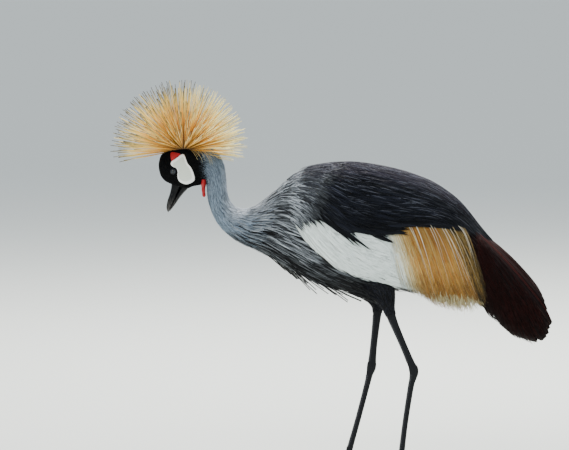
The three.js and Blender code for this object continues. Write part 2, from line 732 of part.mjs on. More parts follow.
// Secondaries: broad chestnut feathers that droop over the tail like a cloak, the inner ones outermost
const cloakPad = {
  from: 150,
  to: 172,
  lower: edge([[150, 356], [172, 350]]),
  upper: edge([[150, 504], [172, 480]]),
  inner: () => -8,
  outer: () => -6,
  along: 1,
  round: 5,
};
const CLOAK = { count: 7, half: 15, roots: [[158, 492], [158, 368]] };
const CLOAK_TIPS = [[321, 290], [316, 263], [296, 252], [272, 254], [252, 268], [232, 288], [210, 308], [193, 322]];
function cloakPieces(grow) {
  const draw = drawsFrom(SEED + 4);
  const feathers = Array.from({ length: CLOAK.count }, (_, n) => {
    const u = n / (CLOAK.count - 1);
    const [startX, startZ] = mixPair(...CLOAK.roots, u);
    const [endX, endZ] = rowAt(CLOAK_TIPS, u * (CLOAK_TIPS.length - 1));
    return vane(roofPoint, {
      from: [startX, roofAngle(startX, startZ)],
      to: [endX, roofAngle(endX, endZ) + draw()],
      bend: 3 * (1 - u),
      lifts: staggered([-7, -4.2, -3.8, -3.6, -3.6], CLOAK.count - n, 3),
      half: CLOAK.half * mix(1, 0.8, u) * (1 + 0.04 * draw()),
      widths: [0.35, 0.8, 1, 0.95, 0.2],
      steps: 4,
      columns: 3,
    }, grow);
  });
  return fuse([grow ? grown(cloakPad) : slab(cloakPad), ...feathers]);
}
const cloakGrown = cloakPieces(GAP);
placePair("secondaries", cutBy(cloakPieces(0), [
  trunkGrown, wingGrown, slateGrown, goldGrown,
]).intersect(LEFT_HALF), "chestnut");

// Primaries: the black wing tips, folded under the secondaries
const tipPad = {
  from: 130,
  to: 168,
  lower: edge([[130, 366], [168, 354]]),
  upper: edge([[130, 420], [168, 406]]),
  inner: () => -14,
  outer: () => -12,
  along: 1,
  round: 3,
};
const HAND = { count: 3, half: 11, roots: [[150, 408], [150, 368]], tips: [[288, 296], [214, 320]] };
function handPieces(grow) {
  const feathers = Array.from({ length: HAND.count }, (_, n) => {
    const u = n / (HAND.count - 1);
    const [startX, startZ] = mixPair(...HAND.roots, u);
    const [endX, endZ] = mixPair(...HAND.tips, u);
    return vane(roofPoint, {
      from: [startX, roofAngle(startX, startZ)],
      to: [endX, roofAngle(endX, endZ)],
      lifts: staggered([-13, -11.4, -11.4, -11.4], n, 3),
      half: HAND.half,
      widths: FEATHER,
      steps: 3,
    }, grow);
  });
  return fuse([grow ? grown(tipPad) : slab(tipPad), ...feathers]);
}
const handGrown = handPieces(GAP);
placePair("primaries", cutBy(handPieces(0), [trunkGrown, wingGrown, cloakGrown]), "black");

// Tail: black feathers closed to a narrow fan under the cloak
const TAIL = { count: 5, root: [173, 452], tip: [303, 304], half: 8, spread: 2.2, spreadTip: 3 };
const tailWay = new THREE.Vector3(TAIL.tip[0] - TAIL.root[0], 0, TAIL.tip[1] - TAIL.root[1]);
const tailLong = tailWay.length();
tailWay.normalize();
const tailUp = new THREE.Vector3(-tailWay.z, 0, tailWay.x);
// The tail's own surface: a place along it, a place across it and a height above it.
const tailPoint = (along, across, lift) =>
  new THREE.Vector3(TAIL.root[0], across, TAIL.root[1])
    .addScaledVector(tailWay, along)
    .addScaledVector(tailUp, lift + 10 * Math.sin((Math.PI * along) / tailLong / 2));
const tailPieces = [tube([[174, 0, 451, 9, 15], [190, 0, 436, 7, 14], [206, 0, 420, 4, 12]], 8)];
for (let n = 0; n < TAIL.count; n += 1) {
  const offset = n - (TAIL.count - 1) / 2;
  const under = 1.3 * (TAIL.count - 1 - n);
  tailPieces.push(vane(tailPoint, {
    from: [16, offset * TAIL.spread],
    to: [tailLong - 6 * Math.abs(offset), offset * TAIL.spreadTip],
    lifts: [1, 3 - under, 3 - under, 3 - under],
    half: TAIL.half,
    widths: FEATHER,
  }));
}
place("tail", cutBy(fuse(tailPieces), [
  trunkGrown, cloakGrown, mirrored(cloakGrown), handGrown, mirrored(handGrown),
]), "black");

// Breast plumes: lance-shaped locks that trail from the neck's base over the breast and the wings' front edges
const BREAST_ROWS = [
  { place: 20.1, angles: [78, -82], count: 5, reach: 1.7, half: 7 },
  { place: 20.95, angles: [68, -84], count: 5, reach: 1.7, half: 7.4 },
  { place: 21.8, angles: [76, -78], count: 5, reach: 1.7, half: 8 },
  { place: 22.65, angles: [-18, -84], count: 4, reach: 1.9, half: 8 },
];
const breastDraw = drawsFrom(SEED + 5);
const breastLocks = [];
for (const { place: start, angles, count, reach, half } of BREAST_ROWS) {
  for (let n = 0; n < count; n += 1) {
    const angle = mix(...angles, n / (count - 1)) + 2 * breastDraw();
    const rise = Math.sin(THREE.MathUtils.degToRad(angle));
    const low = Math.max(-rise, 0);
    breastLocks.push(lock(bodyPoint, {
      from: [start + 0.1 * breastDraw(), angle],
      to: [start + reach * (1 - 0.2 * rise) + 0.1 * breastDraw(), mix(angle, -60, 0.12)],
      bend: -2,
      lifts: [-1.2, 1.2, 3, 4.6 + 7 * low],
      half: half * (1 + 0.08 * breastDraw()),
      widths: [0.5, 1, 0.75, 0.3],
      tall: 1.3,
    }));
  }
}
const breastSide = fuse(breastLocks);
place("breast", cutBy(fuse([breastCore, breastSide, mirrored(breastSide)]), [
  rearGrown, wingGrown, mirrored(wingGrown), slateGrown, mirrored(slateGrown),
  bodyStretch(CUT.bend, CUT.base, 5, NECK_SIDES, GAP),
]), "plume");

// Legs: each stop is x, z, half depth, half width, from the hip down to the foot. The left leg trails.
const LEG_Y = 36;
const LEG_SIDES = 9;
const LEGS = {
  left: [
    [-28, 410, 34, 22], [-12, 368, 30, 20], [-1, 345, 21, 16], [6, 325, 12.5, 11], [9, 314, 10, 9.4],
    [20, 286, 7.6, 7], [38, 244, 6.8, 6.2], [51, 213, 7.6, 6.8], [55, 204, 9.4, 8],
    [56, 195, 8.8, 7.6], [54, 184, 6.8, 6], [50, 166, 5.8, 5.2], [40, 100, 5.4, 4.8],
    [33, 42, 5.8, 5.2], [31, 24, 7, 6.6],
  ],
  right: [
    [-45, 410, 34, 22], [-34, 368, 28, 20], [-24, 345, 20, 16], [-16, 325, 11.5, 11], [-13.5, 314, 9.6, 9.2],
    [-16, 286, 7.6, 7], [-20.5, 244, 6.8, 6.2], [-23.5, 213, 7.6, 6.8], [-24.6, 204, 9.2, 8],
    [-26, 195, 8.8, 7.6], [-29, 184, 6.8, 6], [-33, 166, 5.8, 5.2], [-50, 100, 5.4, 4.8],
    [-66, 42, 5.8, 5.2], [-70, 24, 7, 6.6],
  ],
};
const LEG_JOINTS = { knee: 4, ankle: 8, foot: 14 };
const TOES = {
  middle: { turn: 0, length: 84, radius: 5 },
  inner: { turn: 34, length: 66, radius: 4.7 },
  outer: { turn: -32, length: 72, radius: 4.7 },
  hind: { turn: 186, length: 30, radius: 4.2 },
};
const TOE_SIDES = 6;
const CLAW_LENGTH = 11;
const FLOOR_BLOCK = prism([[-400, -50], [400, -50], [400, 0], [-400, 0]], -300, 300);

for (const [side, sign] of [["left", -1], ["right", 1]]) {
  const y = sign * LEG_Y;
  const stops = LEGS[side].map(([x, z, deep, wide]) => [x, y, z, deep, wide]);
  const { knee, ankle, foot } = LEG_JOINTS;
  const wingRoom = sign < 0 ? wingGrown : mirrored(wingGrown);
  place(`thigh_${side}`, cutBy(tube(stops, 12, 0, 0, knee), [trunkGrown, wingRoom]), "slate");
  place(`shank_${side}`, tube(stops, LEG_SIDES, 0, knee, ankle), "leg");
  place(`tarsus_${side}`, tube(stops, LEG_SIDES, 0, ankle, foot), "leg");

  // The foot: a low hub with three toes forward and one back, flat underneath
  const [footX, , footZ, deep, wide] = stops[foot];
  const hub = tube(
    [
      [footX + 2, y, 40, deep, wide],
      [footX, y, footZ, deep, wide],
      [footX - 1.5, y, 15, 8.5, 8.5],
      [footX - 2, y, 7, 9, 9],
      [footX - 2, y, -3, 7, 7],
    ],
    LEG_SIDES,
    0,
    1,
    4,
  );
  const tarsusRoom = tube(stops, LEG_SIDES, GAP, ankle, foot);
  const pieces = [hub];
  const claws = [];
  for (const [toe, { turn, length, radius }] of Object.entries(TOES)) {
    const heading = THREE.MathUtils.degToRad(180 + turn * -sign);
    const ahead = (distance, z, tall, wideness) => [
      footX - 2 + distance * Math.cos(heading),
      y + distance * Math.sin(heading),
      z,
      tall,
      wideness,
    ];
    const toeStops = [0, 0.45, 1].map((share, n) => {
      const swell = n % 2 ? 0.92 : 1.06;
      const size = radius * (1 - 0.3 * share) * (n ? swell : 1);
      return ahead(length * share, size * 0.8 + 0.6 * (n % 2), size, size);
    });
    pieces.push(tube(toeStops, TOE_SIDES));
    const tip = radius * 0.5;
    claws.push([toe, tube([
      ahead(length + GAP, tip + 1.2, tip, tip * 0.9),
      ahead(length + CLAW_LENGTH * 0.5, tip + 1, tip * 0.7, tip * 0.6),
      ahead(length + CLAW_LENGTH, 1.1, 0.5, 0.5),
    ], 5)]);
  }
  place(`foot_${side}`, cutBy(fuse(pieces), [FLOOR_BLOCK, tarsusRoom]), "leg");
  for (const [toe, claw] of claws) place(`claw_${toe}_${side}`, claw, "claw");
}

const model = new THREE.Group();
model.add(crane);
export default model;
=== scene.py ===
"""The looks of a life-size grey crowned crane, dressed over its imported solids. Sizes are in mm unless a
comment says otherwise, in the drawing that the solids use: -X the way the bird faces, -Y its left, +Z up."""

import math

import bpy
import numpy as np
from mathutils import Matrix, Vector
from mathutils.bvhtree import BVHTree


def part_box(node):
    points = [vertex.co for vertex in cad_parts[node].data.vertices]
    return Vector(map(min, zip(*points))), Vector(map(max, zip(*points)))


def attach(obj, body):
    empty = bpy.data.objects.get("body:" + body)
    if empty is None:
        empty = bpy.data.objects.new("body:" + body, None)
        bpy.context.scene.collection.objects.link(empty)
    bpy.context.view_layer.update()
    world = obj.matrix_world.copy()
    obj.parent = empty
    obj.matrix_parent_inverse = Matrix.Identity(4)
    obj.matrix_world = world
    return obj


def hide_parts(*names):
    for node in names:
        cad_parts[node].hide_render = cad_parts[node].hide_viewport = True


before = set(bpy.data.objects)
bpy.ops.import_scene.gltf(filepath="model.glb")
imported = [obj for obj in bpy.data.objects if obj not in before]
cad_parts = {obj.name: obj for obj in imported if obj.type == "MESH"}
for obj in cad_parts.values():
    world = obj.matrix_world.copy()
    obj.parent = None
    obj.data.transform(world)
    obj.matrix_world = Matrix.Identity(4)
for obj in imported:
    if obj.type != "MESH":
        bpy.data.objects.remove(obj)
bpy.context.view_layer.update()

# Studio floor, lights and camera
# A wide pale floor fills the background, a soft sky lights all round, and a broad lamp behind gives the
# bright edges of a bird seen against the light. The lens is long, as in the photograph.
PHOTO = {"width": 569, "height": 450, "mm_per_pixel": 1.95, "ground_row": 472, "origin_column": 385}
EYE_AT = (-412.5, -17.2, 587.5)
low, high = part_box("eye_left")
SHIFT = Vector((500 * (low.x + high.x) - EYE_AT[0], 0, 0))
CAMERA = {"away": 9000, "elevation": 5.2, "film": 36}


def paint(red, green, blue):
    """A colour as a screen shows it, from 0 to 255, as the light that it gives back."""
    share = np.array([red, green, blue]) / 255
    return tuple(np.where(share <= 0.04045, share / 12.92, ((share + 0.055) / 1.055) ** 2.4))


def set_inputs(node, inputs):
    """Set a node's inputs by name, each to a value or to another node's output; _ stands for a space."""
    for name, value in inputs.items():
        socket = node.inputs[name.replace("_", " ")]
        if isinstance(value, bpy.types.NodeSocket):
            node.id_data.links.new(value, socket)
        else:
            socket.default_value = value


def shader_of(material):
    return material.node_tree.nodes["Principled BSDF"]


def plain_material(name, color, roughness, shine=0.15):
    material = bpy.data.materials.new(name)
    material.use_nodes = True
    set_inputs(shader_of(material), {
        "Base Color": (*color, 1), "Roughness": roughness, "Specular IOR Level": shine,
    })
    return material


# The floor's half width is in metres, as are the lamps' places. Each lamp: name, place, watts, size, colour.
FLOOR_REACH = 60
FLOOR_PAPER = paint(224, 227, 222)
SKY_COLOR, SKY_STRENGTH = (0.86, 0.93, 1, 1), 0.95
LAMPS = [
    ("lamp_back", (0.7, 2.0, 3.4), 330, 1.6, (1, 0.98, 0.93)),
    ("lamp_front", (-1.6, -2.6, 3.2), 95, 2.4, (1, 1, 0.98)),
]
LAMP_TARGET = Vector((0, 0, 0.45))


def studio():
    floor = bpy.data.meshes.new("studio_floor")
    corners = [(x * FLOOR_REACH, y * FLOOR_REACH, 0) for x, y in [(-1, -1), (1, -1), (1, 1), (-1, 1)]]
    floor.from_pydata(corners, [], [(0, 1, 2, 3)])
    floor.materials.append(plain_material("studio_paper", FLOOR_PAPER, 0.9))
    piece = bpy.data.objects.new("studio_floor", floor)
    bpy.context.scene.collection.objects.link(piece)

    world = bpy.data.worlds.new("studio_sky")
    world.use_nodes = True
    set_inputs(world.node_tree.nodes["Background"], {"Color": SKY_COLOR, "Strength": SKY_STRENGTH})
    bpy.context.scene.world = world

    for name, place, watts, size, color in LAMPS:
        lamp = bpy.data.lights.new(name, "AREA")
        lamp.energy, lamp.size, lamp.color = watts, size, color
        holder = bpy.data.objects.new(name, lamp)
        holder.location = place
        holder.rotation_euler = (LAMP_TARGET - Vector(place)).to_track_quat("-Z", "Y").to_euler()
        bpy.context.scene.collection.objects.link(holder)


def photo_camera():
    scale = PHOTO["mm_per_pixel"] / 1000
    target = Vector((
        (PHOTO["width"] / 2 - PHOTO["origin_column"]) * scale + SHIFT.x / 1000,
        0,
        (PHOTO["ground_row"] - PHOTO["height"] / 2) * scale,
    ))
    away, tilt = CAMERA["away"] / 1000, math.radians(CAMERA["elevation"])
    lens = bpy.data.cameras.new("camera")
    lens.sensor_width = CAMERA["film"]
    lens.lens = CAMERA["film"] * away / (PHOTO["width"] * scale)
    lens.clip_end = 200
    camera = bpy.data.objects.new("camera", lens)
    camera.location = target + Vector((0, -away * math.cos(tilt), away * math.sin(tilt)))
    camera.rotation_euler = (math.pi / 2 - tilt, 0, 0)
    bpy.context.scene.collection.objects.link(camera)
    bpy.context.scene.camera = camera


studio()
photo_camera()

# Skin
# One smooth skin from the bill's root over head, neck and body, with the legs and feet grown into it.
# It lies under the feathers by the coat's depth and wears the same markings, and is bare on the lower legs.
# Each row: upper x, upper z, lower x, lower z, half width, level of the widest point.
BODY = np.array([
    [-417, 563, -385, 552, 11, 0.5], [-427, 567, -380, 555.5, 15, 0.5],
    [-436, 577, -374, 557.8, 18.5, 0.5], [-440, 590, -368, 559, 21, 0.5],
    [-440.3, 604, -362.5, 560, 22, 0.5], [-435, 619, -358, 561, 22, 0.5],
    [-420, 629, -354.5, 562.3, 21.5, 0.5], [-400, 634, -352.3, 564, 21, 0.5],
    [-376, 636.5, -350.9, 566, 20.5, 0.5], [-352, 635, -350, 567.5, 20, 0.5],
    [-334, 628, -348.8, 566.8, 19.5, 0.5], [-321, 615, -348.2, 563.5, 19, 0.5],
    [-313.5, 598, -347.6, 557, 18.5, 0.5], [-310.3, 576, -347, 549, 18.5, 0.5],
    [-309, 556, -346, 540, 18.5, 0.5], [-305, 535, -343, 524, 19.5, 0.5], [-296, 521, -337, 506, 21, 0.5],
    [-283, 514.5, -328, 488, 23, 0.5], [-268, 514, -315, 471.5, 26.5, 0.5],
    [-250, 520.5, -298, 459, 31, 0.5], [-232, 532.5, -278, 447, 38, 0.5],
    [-207.7, 554, -250, 436, 47, 0.52], [-184, 573, -222, 423, 55, 0.54],
    [-156, 586, -190, 405, 61, 0.55], [-113, 594, -150, 385, 68, 0.55], [-66, 597, -100, 368, 74, 0.55],
    [-19.5, 593, -45, 357, 76, 0.55], [28.5, 582, 10, 354, 72, 0.55], [75, 563, 60, 372, 62, 0.55],
    [115, 535, 108, 402, 47, 0.55], [150, 496, 146, 426, 33, 0.55], [178, 462, 175, 440, 18, 0.55],
])


def columns(*values):
    """Values side by side as the columns of one array, where a single number fills its column."""
    return np.stack(np.broadcast_arrays(*values), -1)


def row_at(rows, place):
    """The rows at fractional places, every column on a smooth curve through them."""
    last = len(rows) - 1
    at = np.clip(place, 0, last)
    i = np.minimum(at.astype(int), last - 1)
    t = (at - i)[..., None]
    a, b, c, d = (rows[np.clip(i + k, 0, last)] for k in (-1, 0, 1, 2))
    bend_in, bend_out = (c - a) / 2, (d - b) / 2
    return ((2 * t**3 - 3 * t**2 + 1) * b + (t**3 - 2 * t**2 + t) * bend_in
            + (3 * t**2 - 2 * t**3) * c + (t**3 - t**2) * bend_out)


def ring_point(row, angle, lift):
    """A point on a ring: angle 0 is the left side, 90 the top and -90 the underside, in degrees."""
    ux, uz, lx, lz, half, level = np.moveaxis(row, -1, 0)
    depth = np.hypot(ux - lx, uz - lz)
    up_x, up_z = (ux - lx) / depth, (uz - lz) / depth
    sine = np.sin(np.radians(angle))
    reach = level * depth + (np.where(sine >= 0, 1 - level, level) * depth + lift) * sine
    return columns(lx + up_x * reach, -(half + lift) * np.cos(np.radians(angle)), lz + up_z * reach)


FINE_PLACES = np.linspace(0, len(BODY) - 1, 1241)
FINE_ROWS = row_at(BODY, FINE_PLACES)
MIDDLE = columns((FINE_ROWS[:, 0] + FINE_ROWS[:, 2]) / 2, (FINE_ROWS[:, 1] + FINE_ROWS[:, 3]) / 2)
FINE_ARCS = np.concatenate([[0], np.cumsum(np.hypot(*np.diff(MIDDLE, axis=0).T))])
ARC_LENGTH = FINE_ARCS[-1]


def arc_of(place):
    """How far along the body's middle line a row, or a place between two rows, lies."""
    return np.interp(place, FINE_PLACES, FINE_ARCS)


NAPE = arc_of(9)
NECK_BASE = arc_of(20)


def body_point(arc, angle, lift):
    """A point over the body: an arc length along its middle line, an angle round it and a height above it."""
    arc, angle, lift = np.broadcast_arrays(arc, angle, lift)
    return ring_point(row_at(BODY, np.interp(arc, FINE_ARCS, FINE_PLACES)), angle, lift)


def shaded(color, share):
    """A colour made lighter or darker, by a share for each point."""
    return np.asarray(color) * np.asarray(share)[..., None]


def blend(a, b, share):
    """From colour a to colour b, by a share for each point."""
    share = np.clip(share, 0, 1)[..., None]
    return np.asarray(a) * (1 - share) + np.asarray(b) * share


def step(low, high, value):
    """A soft step of a value: 0 up to low, 1 from high on."""
    t = np.clip((value - low) / (high - low), 0, 1)
    return t * t * (3 - 2 * t)


VELVET = paint(13, 13, 15)
NECK_GREY = paint(134, 151, 168)
BREAST_GREY = paint(104, 107, 113)
# The top of the neck's bend: a paler tone, brightened by a painted highlight.
BEND_PALE_HIGHLIGHT = paint(206, 211, 219)
SLATE = paint(20, 22, 28)
BELLY = paint(24, 24, 27)


def grey_share(point):
    """How far the head's black has turned into the neck's grey, behind the cheek and over the nape."""
    x, z = point[..., 0], point[..., 2]
    edge = -352 - 10 * step(600, 636, z) + 5 * step(585, 560, z)
    return step(-14, 9, x - edge)


def coat_color(point):
    """The body's markings by place, with a painted highlight over the paler top of the neck's bend."""
    x, z = point[..., 0], point[..., 2]
    color = blend(VELVET, NECK_GREY, grey_share(point))
    color = blend(color, BREAST_GREY, step(-285, -215, x))
    # Painted highlight on top of the neck's bend, over its paler tone.
    color = blend(color, BEND_PALE_HIGHLIGHT, 0.7 * step(-326, -296, x) * step(-225, -266, x) * step(486, 516, z))
    color = blend(color, SLATE, step(-190, -120, x))
    return blend(color, BELLY, step(-285, -215, x) * step(470, 400, z))


def body_uv(arc, angle):
    """The place of a root on the skin's own unwrap: along the body, and round it from the underside."""
    return columns(0.01 + 0.98 * arc / ARC_LENGTH, 0.02 + 0.78 * ((angle + 90) % 360) / 360)


def to_frame(points):
    """From the drawing in mm to the shared frame in metres."""
    return (np.asarray(points, float) + np.array(SHIFT)) / 1000


def drawn_points(mesh):
    """The mesh's points, from the shared frame back to the drawing in mm."""
    points = np.empty(len(mesh.vertices) * 3, np.float32)
    mesh.vertices.foreach_get("co", points)
    return points.reshape(-1, 3) * 1000 - np.array(SHIFT)


def smoothed(mesh):
    mesh.polygons.foreach_set("use_smooth", np.full(len(mesh.polygons), True))


def mesh_piece(name, points, faces, corner_uv=None):
    """An object of its own from points in the drawing and faces of three or four corners."""
    mesh = bpy.data.meshes.new(name)
    mesh.vertices.add(len(points))
    mesh.vertices.foreach_set("co", to_frame(points).astype(np.float32).ravel())
    corners = np.concatenate([np.asarray(f, np.int32).ravel() for f in faces])
    totals = np.concatenate([np.full(len(f), np.asarray(f).shape[1], np.int32) for f in faces])
    mesh.loops.add(len(corners))
    mesh.loops.foreach_set("vertex_index", corners)
    mesh.polygons.add(len(totals))
    mesh.polygons.foreach_set("loop_start", np.concatenate([[0], np.cumsum(totals)[:-1]]).astype(np.int32))
    smoothed(mesh)
    if corner_uv is not None:
        layer = mesh.uv_layers.new(name="OFBake")
        layer.uv.foreach_set("vector", np.asarray(corner_uv, np.float32).ravel())
    mesh.update(calc_edges=True)
    mesh.validate()
    piece = bpy.data.objects.new(name, mesh)
    bpy.context.scene.collection.objects.link(piece)
    return piece


def set_tint(mesh, colors):
    """The colour of each of the mesh's points, which the materials read as tint."""
    colors = np.broadcast_to(colors, (len(mesh.vertices), 3))
    layer = mesh.attributes.new("tint", "FLOAT_COLOR", "POINT")
    layer.data.foreach_set("color", columns(*colors.T, 1).astype(np.float32).ravel())


def set_vane(mesh, places):
    """Where each point lies on its feather: across the vane, along it, and a number of the feather's own."""
    layer = mesh.attributes.new("vane", "FLOAT_VECTOR", "POINT")
    layer.data.foreach_set("vector", places.astype(np.float32).ravel())


def dress(piece, material, slot, *nodes):
    """Give a piece its material, and say that it rides on the body in place of some nodes; the slot is not
    used.
    """
    piece.data.materials.clear()
    piece.data.materials.append(material)
    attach(piece, "root")
    if nodes:
        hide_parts(*nodes)


def loft(rings):
    """Faces of a closed tube through rings of points, each end closed by a fan round a middle point."""
    steps, sides = rings.shape[:2]
    index = np.arange(steps * sides).reshape(steps, sides)
    a, b = index[:-1], np.roll(index[:-1], -1, 1)
    quads = columns(a, b, np.roll(index[1:], -1, 1), index[1:]).reshape(-1, 4)
    first, last = steps * sides, steps * sides + 1
    fans = [columns(np.roll(index[0], -1), index[0], first),
            columns(index[-1], np.roll(index[-1], -1), last)]
    points = np.concatenate([rings.reshape(-1, 3), [rings[0].mean(0)], [rings[-1].mean(0)]])
    return points, [quads, np.concatenate(fans)]


STEEP = 0.45


def directions(middle):
    """Across and up at each point of a path; a path steeper than STEEP takes its across from +Y."""
    along = np.gradient(middle, axis=0)
    along /= np.linalg.norm(along, axis=1, keepdims=True)
    across = columns(-along[:, 1], along[:, 0], 0)
    across[np.linalg.norm(across, axis=1) < STEEP] = (0, 1, 0)
    across -= along * (across * along).sum(1, keepdims=True)
    across /= np.linalg.norm(across, axis=1, keepdims=True)
    return across, np.cross(across, along)


def tube(stops, sides, per_stop):
    """Rings round a smooth path. Each stop: x, y, z, half size in its upright plane, half size across."""
    fine = row_at(np.array(stops, float), np.linspace(0, len(stops) - 1, (len(stops) - 1) * per_stop + 1))
    middle = fine[:, :3]
    across, up = directions(middle)
    a = 2 * np.pi * np.arange(sides) / sides
    return (middle[:, None] + across[:, None] * (fine[:, 4, None] * np.cos(a))[..., None]
            + up[:, None] * (fine[:, 3, None] * np.sin(a))[..., None])


LEG_Y = 36
LEG_VOXEL = 0.00125
# Each stop: x, z, half depth, half width, from the hip to the foot. The left leg trails.
LEGS = {
    "left": [
        [-28, 410, 34, 16], [-12, 368, 30, 14.5], [-1, 345, 21, 13], [6, 325, 12.5, 11], [9, 314, 10, 9.4],
        [20, 286, 7.6, 7], [38, 244, 6.8, 6.2], [51, 213, 7.6, 6.8], [55, 204, 9.4, 8],
        [56, 195, 8.8, 7.6], [54, 184, 6.8, 6], [50, 166, 5.8, 5.2], [40, 100, 5.4, 4.8],
        [33, 42, 5.8, 5.2], [31, 24, 7, 6.6],
    ],
    "right": [
        [-45, 410, 34, 16], [-34, 368, 28, 14.5], [-24, 345, 20, 13], [-16, 325, 11.5, 11],
        [-13.5, 314, 9.6, 9.2], [-16, 286, 7.6, 7], [-20.5, 244, 6.8, 6.2], [-23.5, 213, 7.6, 6.8],
        [-24.6, 204, 9.2, 8], [-26, 195, 8.8, 7.6], [-29, 184, 6.8, 6], [-33, 166, 5.8, 5.2],
        [-50, 100, 5.4, 4.8], [-66, 42, 5.8, 5.2], [-70, 24, 7, 6.6],
    ],
}
SIDE_SIGN = {"left": -1, "right": 1}
# Each toe: turn from straight ahead in degrees, length, radius at its root.
TOES = {"middle": (0, 84, 5), "inner": (34, 66, 4.7), "outer": (-32, 72, 4.7), "hind": (186, 30, 4.2)}


# The hub where the toes meet. Each stop: x from the foot's middle, z, half depth, half width.
HUB = [[2, 40, 6, 5.4], [0, 24, 7, 6.6], [-1.5, 15, 8, 8], [-2, 7, 8.4, 8.4], [-2, 1, 7, 7]]


def leg_stops(side):
    return [[x, SIDE_SIGN[side] * LEG_Y, z, deep, wide] for x, z, deep, wide in LEGS[side]]


def toe_spot(side, toe, far):
    """The x and y of a place on a toe, by its distance from the hub."""
    heading = math.radians(180 - TOES[toe][0] * SIDE_SIGN[side])
    hub_x = LEGS[side][-1][0] + HUB[-1][0]
    return hub_x + far * math.cos(heading), SIDE_SIGN[side] * LEG_Y + far * math.sin(heading)


def toe_stops(side, toe):
    """A toe from the hub to its claw, with a low swelling at each knuckle."""
    _, length, radius = TOES[toe]
    stops = []
    for share in np.linspace(0, 1, 9):
        size = radius * (1 - 0.32 * share) * (1 + 0.07 * math.cos(share * 6 * math.pi))
        stops.append([*toe_spot(side, toe, length * share), size, size, size])
    return stops


def baked_mesh(piece):
    """Apply the piece's modifiers, so that it keeps one plain mesh."""
    graph = bpy.context.evaluated_depsgraph_get()
    mesh = bpy.data.meshes.new_from_object(piece.evaluated_get(graph), depsgraph=graph)
    piece.modifiers.clear()
    piece.data = mesh


def knit(piece, voxel, rounds):
    """One closed skin from the piece's tubes, rebuilt at a voxel size in metres and then smoothed."""
    remesh = piece.modifiers.new("knit", "REMESH")
    remesh.mode, remesh.voxel_size = "VOXEL", voxel
    soften = piece.modifiers.new("soften", "SMOOTH")
    soften.factor, soften.iterations = 0.5, rounds
    baked_mesh(piece)
    smoothed(piece.data)


def joined_loft(name, tubes):
    """One mesh from several tubes."""
    points, faces, offset = [], [], 0
    for rings in tubes:
        more, parts = loft(rings)
        points.append(more)
        faces += [part + offset for part in parts]
        offset += len(more)
    quads = np.concatenate([f for f in faces if f.shape[1] == 4])
    fans = np.concatenate([f for f in faces if f.shape[1] == 3])
    return mesh_piece(name, np.concatenate(points), [quads, fans])


def leg_tubes(side):
    leg = leg_stops(side)
    foot_x, foot_y = leg[-1][:2]
    hub = [[foot_x + x, foot_y, z, deep, wide] for x, z, deep, wide in HUB]
    return [tube(leg, 20, 5), tube(hub, 20, 4)] + [tube(toe_stops(side, toe), 16, 3) for toe in TOES]


COAT_DEPTH = 2.2
HEAD_DEPTH = 1.1


def coat_depth(arc):
    return HEAD_DEPTH + (COAT_DEPTH - HEAD_DEPTH) * step(NAPE - 20, NAPE + 40, arc)


def build_skin():
    arcs = np.linspace(0, ARC_LENGTH, 300)
    angles = np.arange(72) * 5.0
    points, faces = loft(body_point(arcs[:, None], angles[None], -coat_depth(arcs)[:, None]))
    body = mesh_piece("skin", points, faces)
    legs = joined_loft("legs", leg_tubes("left") + leg_tubes("right"))
    knit(legs, LEG_VOXEL, 2)
    union = body.modifiers.new("legs", "BOOLEAN")
    union.operation, union.object, union.solver = "UNION", legs, "MANIFOLD"
    baked_mesh(body)
    bpy.data.objects.remove(legs)
    return body


LEG_DARK = paint(30, 31, 34)
KNEE_Z = 318


def color_skin(skin):
    """The coat's markings and painted highlight over the body, and the dark of the bare legs below the knee.
    """
    points = drawn_points(skin.data)
    colors = blend(LEG_DARK, coat_color(points), step(KNEE_Z - 8, KNEE_Z + 8, points[:, 2]))
    set_tint(skin.data, colors)
    smoothed(skin.data)


def add_node(tree, kind, settings=(), **inputs):
    """A node with its settings and its inputs."""
    made = tree.nodes.new(kind)
    for name, value in dict(settings).items():
        setattr(made, name, value)
    set_inputs(made, inputs)
    return made


def read_attribute(tree, name, output):
    return add_node(tree, "ShaderNodeAttribute", {"attribute_name": name}).outputs[output]


def object_place(tree):
    return add_node(tree, "ShaderNodeTexCoord").outputs["Object"]


def bumps(tree, height, deep, strength=1.0):
    """Small bumps after a pattern: how deep they are, in metres, and how strong they show."""
    return add_node(tree, "ShaderNodeBump", Height=height, Distance=deep, Strength=strength).outputs["Normal"]


def color_ramp(tree, share, stops):
    """Colours along a share, from two stops, each a place and a colour."""
    ramp = add_node(tree, "ShaderNodeValToRGB", Fac=share)
    for element, (place, color) in zip(ramp.color_ramp.elements, stops):
        element.position, element.color = place, (*color, 1)
    return ramp.outputs["Color"]


def down_material():
    """Short down, and the legs' dark skin: the piece's own colours, broken by fine dark flecks."""
    material = plain_material("down", (1, 1, 1), 0.85)
    tree = material.node_tree
    fleck = add_node(tree, "ShaderNodeTexNoise", Vector=object_place(tree), Scale=900).outputs["Fac"]
    shade = add_node(tree, "ShaderNodeMapRange", Value=fleck, To_Min=0.45, To_Max=0.95)
    mixed = add_node(tree, "ShaderNodeVectorMath", {"operation": "SCALE"},
                     Vector=read_attribute(tree, "tint", "Color"), Scale=shade.outputs["Result"])
    set_inputs(shader_of(material), {
        "Base Color": mixed.outputs["Vector"], "Sheen Weight": 0.03,
        "Normal": bumps(tree, fleck, 0.0006, 0.5),
    })
    return material


skin = build_skin()
color_skin(skin)
dress(skin, down_material(), "slate", "head", "neck_upper", "neck_middle", "torso", "breast",
      *[f"{part}_{side}" for side in SIDE_SIGN for part in ("thigh", "shank", "tarsus", "foot")])

